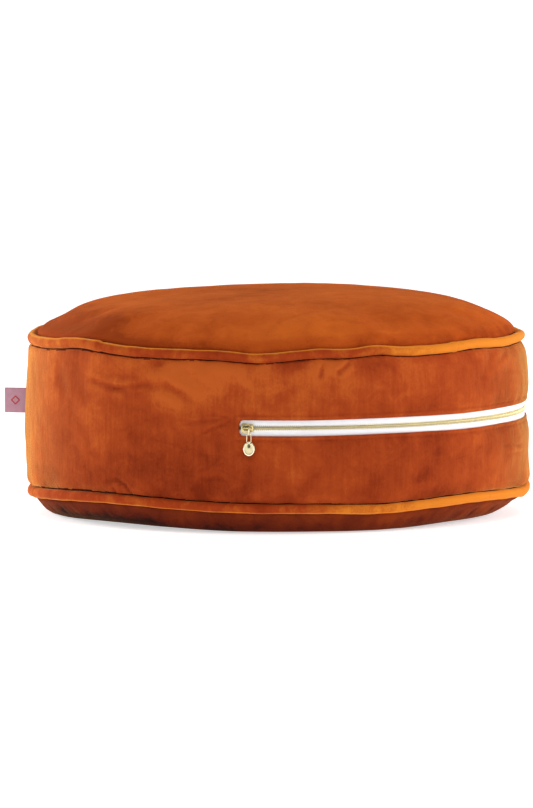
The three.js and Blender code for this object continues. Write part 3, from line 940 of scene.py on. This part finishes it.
def strip_along(path, half_width, thickness, level=0.0):
    """A flat strip bent along a path of (x, y): half_width is in z, and level is the z of its middle."""
    path = np.asarray(path, float)
    way = np.gradient(path, axis=0)
    way /= np.linalg.norm(way, axis=1)[:, None]
    normal = np.stack([-way[:, 1], way[:, 0]], axis=1) * thickness / 2
    half = np.broadcast_to(half_width, len(path))
    level = np.broadcast_to(level, len(path))
    rings = []
    for (x, y), (nx, ny), h, z in zip(path, normal, half, level):
        corner = min(0.45, 0.45 * thickness)
        for sn, sz in ((1, 1), (1, -1), (-1, -1), (-1, 1)):
            inner = 1 - corner / (thickness / 2) * 0.9
            first = (x + sn * nx, y + sn * ny, z + sz * (h - corner))
            second = (x + sn * nx * inner, y + sn * ny * inner, z + sz * h)
            rings.append((first, second) if sn * sz > 0 else (second, first))
    points = np.array([p for pair in rings for p in pair])
    return points, tube_faces(len(path), 8)


def make_slider():
    outer = prism(slider_outline(), [(PLATE_IN, 0), (2.9, 0), (3.2, 0.25), (PLATE_OUT, 0.7)])
    inner = prism(slider_outline(), [(-PLATE_OUT, 0.7), (-3.2, 0.25), (-2.9, 0), (-PLATE_IN, 0)])
    wedge = [(-7.0, -1.2), (-2.5, -0.3), (-2.5, 0.3), (-7.0, 1.2)]
    wedges = [prism(wedge, [(way * 1.35, 0), (way * 2.3, 0)]) for way in (1, -1)]  # clear of the teeth
    lips = [lip(side, way) for side in (1, -1) for way in (1, -1)]
    arch = [(-5.0, 3.0), (-5.1, 4.6), (-4.9, 6.2), (-4.3, 7.4), (-3.0, BAR_OUT), (0, BAR_OUT)]
    arch += [(1.6, BAR_OUT), (3.4, BAR_OUT - 0.1), (4.3, 7.3), (4.8, 6.0), (5.0, 4.4), (5.0, 2.9)]
    half = [1.7, 1.35, 1.1, 1.0, 0.95, 0.9, 0.9, 0.9, 0.95, 1.1, 1.3, 1.6]
    bridge = strip_along(arch, half, 1.5)
    # painted shadow: two thin plates on the slider's face, given the dark material further on, stand for the
    # shaded slot beside the bridge
    shadow_inlay_layers = [(3.3, 0), (3.42, 0), (3.46, 0.1)]
    slots = [prism(oblong_at(-0.8, side * 1.75, 3.7, 0.78), shadow_inlay_layers) for side in (1, -1)]
    rail_path = [(-3.6, 3.3), (-2.4, 3.75), (4.6, 3.75), (5.8, 3.3)]
    rails = [strip_along(rail_path, 0.45, 0.8, z) for z in (3.3, -3.3)]
    parts = [outer, inner, *wedges, *lips, bridge, *slots, *rails]
    placed = [(at_station(SLIDER_AT, p * MM + (0, CHAIN_R, ZIP_Z)), f) for p, f in parts]
    return soften(gathered("slider_brass", placed), 0.16 * MM)


slider = make_slider()


def wire(name, outline, face_on):
    """A closed loop of round wire on the slider's bar; face_on shows its opening from outside."""
    line = np.array(outline)
    flat = np.zeros(len(line)) + BAR_OUT
    if face_on:
        points = np.stack([PULL_AT + line[:, 0], flat, line[:, 1]], axis=1)
    else:
        points = np.stack([PULL_AT + 0 * flat, BAR_OUT + line[:, 0], line[:, 1]], axis=1)
    path = at_station(SLIDER_AT, points * MM + (0, CHAIN_R, ZIP_Z))
    side = at_station(SLIDER_AT, [(0, 1, 0) if face_on else (1, 0, 0)])[0]
    return sweep(name, path, WIRE * MM, sides=10, spin=side)


def wire_outline(node, half_width, corner, steps):
    low, high = below_zip(node)
    return oblong(half_width, low + WIRE, high - WIRE, corner, steps)


link = wire("pull_link_wire", wire_outline("pull_link", 2.6, 2.5, 8), face_on=False)
loop = wire("pull_loop_wire", wire_outline("pull_loop", 2.5, 1.1, 6), face_on=True)

LUG_Z = below_zip("pull_loop")[0] + WIRE
DROP_MIDDLE = LUG_Z - 7.2
DROP_HALF_WIDTH, DROP_HALF_HEIGHT = 7, 8.75
PIT = (1.7, 2.1, 3.2)  # the small hollow in the drop's face: half width, half height, height above its middle


def make_drop():
    """The drop: an oval with a raised rim and a dished face, notched at the top round the loop's lug."""
    slots = [90 - 28.8, 90 - 12.7, 90 + 12.7, 90 + 28.8]
    turns = [*np.arange(-86, 59, 6), slots[0] - 0.3, slots[0], 66, 72, slots[1], 84, 90]
    turns = np.array(sorted([*turns, *[180 - t for t in turns if t != 90], -90]))
    sides = len(turns)
    floor_of_slot = LUG_Z - 0.95 - DROP_MIDDLE
    oval, edge, outline = [], [], []
    for turn in turns:
        c, s = math.cos(math.radians(turn)), math.sin(math.radians(turn))
        oval.append(1 / math.hypot(c / (DROP_HALF_WIDTH * (1 - 0.05 * max(s, 0))), s / DROP_HALF_HEIGHT))
        slotted = slots[0] <= turn <= slots[3]
        edge.append(min(oval[-1], floor_of_slot / s) if slotted else oval[-1])
        outline.append((c * edge[-1], s * edge[-1]))

    def front(x, z, share):
        rim = 0.3 * math.exp(-(((share - 0.86) / 0.1) ** 2))
        pit = 0.8 * math.exp(-((math.hypot(x / PIT[0], (z - PIT[2]) / PIT[1])) ** 4))
        return 0.44 + 0.16 * (1 - share**2) + rim - pit

    points, faces = [(0, front(0, 0, 0), DROP_MIDDLE)], []
    levels = [(share, None) for share in (*np.linspace(0.08, 0.94, 13), 0.985)]
    levels += [(1.0, 0.15), (1.0, -0.45), (0.97, -0.8), (0.9, -0.86), (0.5, -0.88)]
    for share, y in levels:
        for i in range(sides):
            x, z = outline[i][0] * share, outline[i][1] * share
            level = front(x, z, share * edge[i] / oval[i]) if y is None else y
            points.append((x, level, DROP_MIDDLE + z))
    points.append((0, -0.88, DROP_MIDDLE))
    last = 1 + (len(levels) - 1) * sides
    for i in range(sides):
        j = (i + 1) % sides
        faces.append((0, 1 + i, 1 + j))
        for a in range(1, last, sides):
            b = a + sides
            faces.append((a + i, b + i, b + j, a + j))
        faces.append((len(points) - 1, last + j, last + i))
    plate = (np.array(points), faces)

    profile = ((-1.35, 0.8), (-1.35, 1.3), (-1.2, 1.45), (1.2, 1.45), (1.35, 1.3), (1.35, 0.8))
    tube = []
    for x, radius in profile:
        for turn in np.arange(0, 2 * math.pi - 0.1, math.pi / 10):
            tube.append((x, radius * math.cos(turn), LUG_Z + radius * math.sin(turn)))
    lug = (np.array(tube), tube_faces(len(profile), 20, closed=True))
    hung = (PULL_AT * MM, CHAIN_R + BAR_OUT * MM, ZIP_Z)
    placed = [(at_station(SLIDER_AT, p * MM + hung), f) for p, f in (plate, lug)]
    return gathered("pull_drop_brass", placed)


drop = make_drop()


# ---- the label: one ribbon folded in half, sewn into the side seam ----
LABEL_FROM, LABEL_TO = LABEL_HINGE.xy.length, reach("side_label")
LABEL_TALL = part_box("side_label")[1].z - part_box("side_label")[0].z
PLY = 0.42 * MM


def label_bend(reach_out, height):
    """How far the label leans from its plane, so that it isn't dead flat."""
    share = np.clip((reach_out - LABEL_FROM) / (LABEL_TO - LABEL_FROM), 0, 1)
    return 0.5 * MM * share * np.sin(height / LABEL_TALL * 2.4) * share


def make_label():
    inner = LABEL_FROM - 2.6 * MM
    fold_r = 0.32 * MM
    outer = LABEL_TO + 1.2 * MM - fold_r - PLY / 2
    line = [(r, fold_r) for r in np.linspace(inner, outer, 22)]
    for turn in np.radians(np.arange(60, -61, -30)):
        line.append((outer + fold_r * math.cos(turn), fold_r * math.sin(turn)))
    line += [(r, -fold_r) for r in np.linspace(outer, inner, 22)]
    heights = np.linspace(-LABEL_TALL / 2 + 0.3 * MM, LABEL_TALL / 2 - 0.3 * MM, 18)
    points = []
    for h in heights:
        for r, side in line:
            points.append((side + label_bend(r, h), r, LABEL_HINGE.z + h))
    count = len(line)
    faces = []
    for k in range(len(heights) - 1):
        for i in range(k * count, (k + 1) * count - 1):
            faces.append((i, i + 1, i + count + 1, i + count))
    obj = new_mesh("side_label_ribbon", at_station(LABEL_AT, points), faces)
    thicken(obj, PLY, offset=0)
    return obj, np.sum(np.linalg.norm(np.diff(np.array(line), axis=0), axis=1))


label, label_length = make_label()


def make_motif():
    """A plain diamond in raised satin stitch, made of slanting stitches side by side."""
    middle_r = (LABEL_FROM + LABEL_TO) / 2 + 1 * MM
    made = []
    size, width, steps = 4.9, 1.25, 15
    corners = [(size, 0), (0, size), (-size, 0), (0, -size)]
    for i in range(4):
        a, b = np.array(corners[i]), np.array(corners[(i + 1) % 4])
        way = (b - a) / np.linalg.norm(b - a)
        across = np.array((-way[1], way[0]))
        slant = across * 0.85 + way * 0.5
        for k in range(steps):
            centre = a + (b - a) * (k + 0.5) / steps
            path = []
            for t in np.linspace(-1, 1, 7):
                r, h = centre + slant * width / 2 * t
                lift = 0.62 + 0.26 * math.sqrt(max(0, 1 - t * t))
                out = middle_r + r * MM
                path.append((lift * MM + label_bend(out, h * MM), out, LABEL_HINGE.z + h * MM))
            points = at_station(LABEL_AT, path)
            stitch = sweep("stitch", points, 0.25 * MM, sides=6, closed=False, spin=(0, 0, 1))
            mesh = stitch.data
            made.append((read_points(stitch), [tuple(p.vertices) for p in mesh.polygons]))
            bpy.data.objects.remove(stitch)
            bpy.data.meshes.remove(mesh)
    return gathered("label_motif_stitched", made)


motif = make_motif()


# ---- materials ----
class Look:
    """A material in the making: one shader, and short ways to add nodes to it.

    plain holds the values that are the same all over the surface, by socket.
    """

    def __init__(self, name, plain):
        self.made = bpy.data.materials.new(name)
        self.made.use_nodes = True
        self.nodes, self.links = self.made.node_tree.nodes, self.made.node_tree.links
        self.nodes.clear()
        out = self.nodes.new("ShaderNodeOutputMaterial")
        shader = self.nodes.new("ShaderNodeBsdfPrincipled")
        self.links.new(shader.outputs["BSDF"], out.inputs["Surface"])
        self.sockets = shader.inputs
        for socket, value in plain.items():
            self.sockets[socket].default_value = value
        self.place = self.nodes.new("ShaderNodeTexCoord").outputs["Object"]

    def noise(self, scale, detail, stretch=(1, 1, 1), distortion=0.0, rough=0.55):
        mapping = self.nodes.new("ShaderNodeMapping")
        mapping.inputs["Scale"].default_value = [scale * s for s in stretch]
        self.links.new(self.place, mapping.inputs["Vector"])
        noise = self.nodes.new("ShaderNodeTexNoise")
        noise.inputs["Scale"].default_value = 1
        noise.inputs["Detail"].default_value = detail
        noise.inputs["Roughness"].default_value = rough
        noise.inputs["Distortion"].default_value = distortion
        self.links.new(mapping.outputs["Vector"], noise.inputs["Vector"])
        return noise.outputs["Fac"]

    def wave(self, scale, direction):
        wave = self.nodes.new("ShaderNodeTexWave")
        wave.bands_direction = direction
        wave.inputs["Scale"].default_value = scale
        wave.inputs["Distortion"].default_value = 0.3
        self.links.new(self.place, wave.inputs["Vector"])
        return wave.outputs["Fac"]

    def math(self, kind, a, b=0.0, c=0.0):
        node = self.nodes.new("ShaderNodeMath")
        node.operation = kind
        for socket, value in zip(node.inputs, (a, b, c)):
            if isinstance(value, (int, float)):
                socket.default_value = value
            else:
                self.links.new(value, socket)
        return node.outputs[0]

    def colour(self, value, stops):
        """Colours the surface by a value, through (position, colour) stops."""
        node = self.nodes.new("ShaderNodeValToRGB")
        elements = node.color_ramp.elements
        while len(elements) < len(stops):
            elements.new(0.5)
        for element, (position, colour) in zip(elements, stops):
            element.position = position
            element.color = (*colour, 1)
        self.links.new(value, node.inputs[0])
        self.links.new(node.outputs["Color"], self.sockets["Base Color"])

    def bump(self, height, strength, distance):
        node = self.nodes.new("ShaderNodeBump")
        node.inputs["Strength"].default_value = strength
        node.inputs["Distance"].default_value = distance
        self.links.new(height, node.inputs["Height"])
        self.links.new(node.outputs["Normal"], self.sockets["Normal"])


def velvet(name, colours, streaks=(260, 260, 20), sheen=1.0, tint=(1.0, 0.6, 0.16), patch=10):
    """Velvet: colours are its shades from dark to light, chosen by random tone and by the painted light and
    shade in the pile attribute; tint is its sheen's colour.
    """
    plain = {"Roughness": 0.9, "Specular IOR Level": 0.02}
    plain |= {"Sheen Weight": sheen, "Sheen Roughness": 0.3, "Sheen Tint": (*tint, 1)}
    look = Look(name, plain)
    patches = look.noise(patch, 2, distortion=0.4)
    marks = look.noise(42, 3, (1, 1, 1.3), distortion=0.8, rough=0.6)
    combed = look.noise(1, 2, streaks, rough=0.5)
    tone = look.math("MULTIPLY_ADD", combed, 0.2, look.math("MULTIPLY", marks, 0.45))
    tone = look.math("MULTIPLY_ADD", patches, 0.7, tone)
    grain = look.noise(520, 2, (1, 1, 0.6))
    tone = look.math("ADD", look.math("MULTIPLY_ADD", grain, 0.2, -0.275), tone)
    # the pile attribute holds painted light and shade, added here to the random tone
    painted_shading = look.nodes.new("ShaderNodeAttribute")
    painted_shading.attribute_name = "pile"
    tone = look.math("ADD", tone, painted_shading.outputs["Fac"])
    look.colour(tone, [(0.2 + 0.6 * i / (len(colours) - 1), colour) for i, colour in enumerate(colours)])
    pile = look.noise(1400, 2)
    brushed = look.noise(260, 3, (1, 1, 0.35))
    height = look.math("MULTIPLY_ADD", brushed, 0.8, look.math("MULTIPLY", pile, 0.5))
    look.bump(height, 0.55, 0.9 * MM)
    return look.made


def woven(name, dark, light, threads, rough=0.85, sheen=0.2, depth=0.25 * MM, strength=0.6):
    """A plain weave: threads is how many there are in a metre."""
    look = Look(name, {"Roughness": rough, "Sheen Weight": sheen, "Specular IOR Level": 0.25})
    down = look.wave(threads / 6.28, "X")
    level = look.wave(threads / 6.28, "Z")
    weave = look.math("MULTIPLY", look.math("ADD", down, level), 0.5)
    uneven = look.noise(160, 3)
    tone = look.math("MULTIPLY_ADD", uneven, 0.6, look.math("MULTIPLY", weave, 0.4))
    look.colour(tone, [(0.25, dark), (0.75, light)])
    look.bump(weave, strength, depth)
    return look.made


def metal(name, dark, light, rough):
    look = Look(name, {"Metallic": 1})
    worn = look.noise(420, 4)
    look.colour(worn, [(0.3, dark), (0.7, light)])
    scratches = look.noise(900, 3, (1, 1, 0.3))
    look.links.new(look.math("MULTIPLY_ADD", worn, 0.16, rough - 0.08), look.sockets["Roughness"])
    look.bump(scratches, 0.12, 0.05 * MM)
    return look.made


band_velvet = velvet(
    "velvet_band",
    [(0.18, 0.02, 0.005), (0.27, 0.036, 0.008), (0.36, 0.054, 0.011), (0.47, 0.092, 0.016)],
)
top_velvet = velvet(
    "velvet_top",
    [(0.29, 0.042, 0.006), (0.43, 0.07, 0.009), (0.51, 0.09, 0.012), (0.6, 0.12, 0.015)],
    streaks=(60, 14, 60),
    sheen=0.06,
    patch=6,
)
# a darker copy of the velvet: painted shade for the base panel, down to near black for its painted contact
# shadow
base_velvet_painted_shade = velvet(
    "velvet_base_painted_shade",
    [(0.022, 0.007, 0.006), (0.1, 0.014, 0.006), (0.15, 0.022, 0.0065), (0.22, 0.034, 0.007)],
    streaks=(70, 70, 12),
    sheen=0.12,
    tint=(1.0, 0.42, 0.14),
)
piping_velvet = velvet(
    "velvet_piping",
    [(0.25, 0.03, 0.006), (0.34, 0.045, 0.009), (0.46, 0.1, 0.014), (0.66, 0.2, 0.02)],
    streaks=(120, 120, 60),
    sheen=0.35,
    tint=(1.0, 0.55, 0.2),
    patch=20,
)
# a darker velvet without sheen: painted shade for the cloth in the seams
seam_shade_velvet = velvet(
    "velvet_painted_seam_shade",
    [(0.035, 0.007, 0.004), (0.07, 0.012, 0.005), (0.16, 0.027, 0.008)],
    sheen=0.0,
)
calico = woven("calico", (0.72, 0.66, 0.55), (0.84, 0.79, 0.68), 1400)
cotton = woven("cotton_cord", (0.72, 0.67, 0.57), (0.85, 0.81, 0.72), 1800)
tape_weave = woven("zip_tape", (0.86, 0.86, 0.9), (0.97, 0.97, 0.99), 1500, strength=0.5)
FINE = 0.1 * MM  # how deep the weave of the label's satin and thread is
ribbon = woven("label_ribbon", (0.44, 0.27, 0.36), (0.56, 0.37, 0.47), 3200, 0.45, 0.4, depth=FINE)
thread = woven("label_thread", (0.5, 0.03, 0.02), (0.66, 0.06, 0.035), 2600, 0.5, 0.3, depth=FINE)
brass = metal("brass", (0.5, 0.39, 0.16), (0.74, 0.6, 0.3), 0.22)
teeth_brass = metal("teeth_brass", (0.6, 0.49, 0.23), (0.84, 0.72, 0.4), 0.3)
pale_brass = metal("pale_brass", (0.80, 0.70, 0.44), (0.93, 0.86, 0.62), 0.2)
dish_brass = metal("dish_brass", (0.66, 0.57, 0.33), (0.82, 0.74, 0.48), 0.3)
# darker metal in the drop's hollow, and painted shade on the slider's face
dark_brass_and_painted_shade = metal("dark_brass_and_painted_shade", (0.10, 0.085, 0.05), (0.17, 0.15, 0.09), 0.4)
# the top stops' brass darkened to grey: painted shade from the slider's nose
stop_metal = metal("stop_metal", (0.13, 0.12, 0.11), (0.22, 0.2, 0.18), 0.35)


def make_fibre():
    look = Look("fibre", {"Roughness": 1})
    strands = look.noise(240, 5, distortion=1.6, rough=0.7)
    look.colour(strands, [(0.3, (0.8, 0.8, 0.78)), (0.7, (0.95, 0.95, 0.94))])
    look.bump(strands, 0.9, 2 * MM)
    return look.made


fibre = make_fibre()

PAD_SHARE = (0.9695, 0.979)  # of the cover's width and height
FILLING_SHARE = (0.95, 0.955)
pad_top = shrunk("pad_top_calico", top_cloth, *PAD_SHARE)
pad_base = shrunk("pad_base_calico", base_cloth, *PAD_SHARE)
pad_band = shrunk("pad_band_calico", pad_source, *PAD_SHARE)
filling = shrunk("fibre_filling_lumps", cover, *FILLING_SHARE)
points = read_points(filling)
heart = (0, 0, 123 * MM)
towards = points - heart
towards /= np.linalg.norm(towards, axis=1)[:, None]
write_points(filling, points + towards * (1.6 * MM * lumps(points, 34 * MM, 12) - 1.5 * MM)[:, None])
bpy.data.objects.remove(pad_source)
bpy.data.objects.remove(cover)

# piece, material, slot, body, the CAD nodes that it stands for
DRESSED = [
    (top_cloth, top_velvet, "velvet", "root", ["top_panel"]),
    (base_cloth, base_velvet_painted_shade, "velvet", "root", ["bottom_panel"]),
    (back_cloth, band_velvet, "velvet", "root", ["band_back_strip"]),
    (zip_cloth, band_velvet, "velvet", "root", ["band_zip_strip"]),
    (upper_piping, piping_velvet, "velvet", "root", ["upper_piping_cover"]),
    (lower_piping, piping_velvet, "velvet", "root", ["lower_piping_cover"]),
    (upper_cord, cotton, "cotton_cord", "root", ["upper_piping_cord"]),
    (lower_cord, cotton, "cotton_cord", "root", ["lower_piping_cord"]),
    (pad_top, calico, "calico", "root", ["pad_top_panel"]),
    (pad_base, calico, "calico", "root", ["pad_bottom_panel"]),
    (pad_band, calico, "calico", "root", ["pad_band"]),
    (filling, fibre, "fibre", "root", ["fibre_filling"]),
    (upper_tape, tape_weave, "zip_tape", "root", ["zip_tape_upper"]),
    (lower_tape, tape_weave, "zip_tape", "root", ["zip_tape_lower"]),
    (upper_teeth, teeth_brass, "brass", "root", ["zip_teeth_upper"]),
    (lower_teeth, teeth_brass, "brass", "root", ["zip_teeth_lower"]),
    (top_stop_upper, stop_metal, "brass", "root", ["zip_top_stop_upper"]),
    (top_stop_lower, stop_metal, "brass", "root", ["zip_top_stop_lower"]),
    (bottom_stop, brass, "brass", "root", ["zip_bottom_stop"]),
    (slider, brass, "brass", "slider", ["slider_body"]),
    (link, pale_brass, "brass", "link", ["pull_link"]),
    (loop, pale_brass, "brass", "loop", ["pull_loop"]),
    (drop, pale_brass, "brass", "drop", ["pull_drop"]),
    (motif, thread, "label_thread", "label", ["label_motif"]),
    (label, ribbon, "label_ribbon", None, ["side_label"]),
]
for piece, look, slot, body, nodes in DRESSED:
    piece.data.materials.clear()
    piece.data.materials.append(look)
    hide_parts(*nodes)
    if body:
        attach(piece, body)


def darken(obj, look, where):
    """Gives another material to the faces for whose middle, (x, y, z) at the slider in mm, where() holds."""
    obj.data.materials.append(look)
    index = len(obj.data.materials) - 1
    along, out = (Vector(at_station(SLIDER_AT, [p])[0]) for p in ((1, 0, 0), (0, 1, 0)))
    for face in obj.data.polygons:
        middle = face.center
        if where(middle.dot(along) / MM, (middle.dot(out) - CHAIN_R) / MM, (middle.z - ZIP_Z) / MM):
            face.material_index = index


def in_dish(x, y, z):
    across, up = (x - PULL_AT) / DROP_HALF_WIDTH, (z - DROP_MIDDLE) / DROP_HALF_HEIGHT
    return y > BAR_OUT + 0.1 and math.hypot(across, up) < 0.76


def in_pit(x, y, z):
    high = (z - DROP_MIDDLE - PIT[2]) / PIT[1]
    return y > BAR_OUT - 0.6 and math.hypot((x - PULL_AT) / PIT[0], high) < 1.08


def paint_seam_shade(obj, depth):
    """Gives the cloth in the seams, down to a depth from them, a darker material: painted shade in the seams.
    """
    obj.data.materials.append(seam_shade_velvet)
    for face in obj.data.polygons:
        x, y, z = face.center
        azimuth = math.degrees(math.atan2(y, x))
        deep = min(abs(z - upper_seam(azimuth)), abs(z - lower_seam(azimuth)))
        if deep < depth * (1 + 0.25 * hump(azimuth, -145, 20)) and math.hypot(x, y) < PIPING_R + 3.6 * MM:
            face.material_index = 1


# painted shade along the seams, deeper on the band than on the panels
for piece, depth in ((zip_cloth, 6.8), (back_cloth, 6.8), (top_cloth, 3.8), (base_cloth, 3.8)):
    paint_seam_shade(piece, depth * MM)
darken(drop, dish_brass, in_dish)
darken(drop, dark_brass_and_painted_shade, in_pit)
# painted shadow on the slider's two thin plates beside the bridge
darken(slider, dark_brass_and_painted_shade, lambda x, y, z: abs(y - 3.4) < 0.12 and 0.9 < abs(z) < 2.6 and abs(x + 0.8) < 4)

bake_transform(label)


# ---- floor, light and camera ----
def make_stage():
    half = 90
    corners = [(-half, -half, 0), (half, -half, 0), (half, half, 0), (-half, half, 0)]
    floor = new_mesh("floor", corners, [(0, 1, 2, 3)])
    plain = {"Base Color": (0.93, 0.93, 0.93, 1), "Roughness": 0.7, "Specular IOR Level": 0.0}
    plain |= {"Emission Color": (1, 1, 1, 1), "Emission Strength": 0.55}
    floor.data.materials.append(Look("floor", plain).made)


def make_world():
    world = bpy.data.worlds.new("studio")
    bpy.context.scene.world = world
    world.use_nodes = True
    nodes, links = world.node_tree.nodes, world.node_tree.links
    back = nodes["Background"]
    coords = nodes.new("ShaderNodeTexCoord")
    split = nodes.new("ShaderNodeSeparateXYZ")
    links.new(coords.outputs["Generated"], split.inputs[0])
    ramp = nodes.new("ShaderNodeValToRGB")
    low, high = ramp.color_ramp.elements
    low.position, low.color = 0.0, (0.55, 0.55, 0.56, 1)
    high.position, high.color = 0.75, (1, 1, 1, 1)
    links.new(split.outputs["Z"], ramp.inputs[0])
    links.new(ramp.outputs[0], back.inputs["Color"])
    back.inputs["Strength"].default_value = 0.62


def area_light(name, place, target_z, size, power):
    """A rectangle of light that shines on a point of the cushion's axis."""
    light = bpy.data.lights.new(name, "AREA")
    light.shape = "RECTANGLE"
    light.size, light.size_y = size
    light.energy = power
    obj = new_object(name, light)
    obj.location = place
    obj.rotation_euler = (Vector((0, 0, target_z)) - Vector(place)).to_track_quat("-Z", "Y").to_euler()


VIEW_HEIGHT = 974.472 * MM  # what the frame takes in from top to bottom at the cushion
ELEVATION = math.radians(5)
DISTANCE = 20
AIM = Vector((-11.5 * MM, 0, 131 * MM))


def make_camera():
    data = bpy.data.cameras.new("camera")
    data.sensor_width = 36
    data.lens = DISTANCE * data.sensor_width / VIEW_HEIGHT
    data.clip_end = 300
    camera = new_object("camera", data)
    back = Vector((0, -math.cos(ELEVATION), math.sin(ELEVATION)))
    camera.location = AIM + DISTANCE * back
    camera.rotation_euler = (-back).to_track_quat("-Z", "Y").to_euler()
    bpy.context.scene.camera = camera


make_stage()
make_world()
area_light("left", (-2.0, 1.1, 0.5), 0.12, (1.2, 1.1), 62)
area_light("right", (2.2, 0.3, 0.6), 0.12, (1.0, 1.2), 34)
area_light("front", (0.5, -2.4, 2.4), 0.15, (2.0, 1.2), 22)
make_camera()
bpy.context.scene.view_settings.view_transform = "Standard"
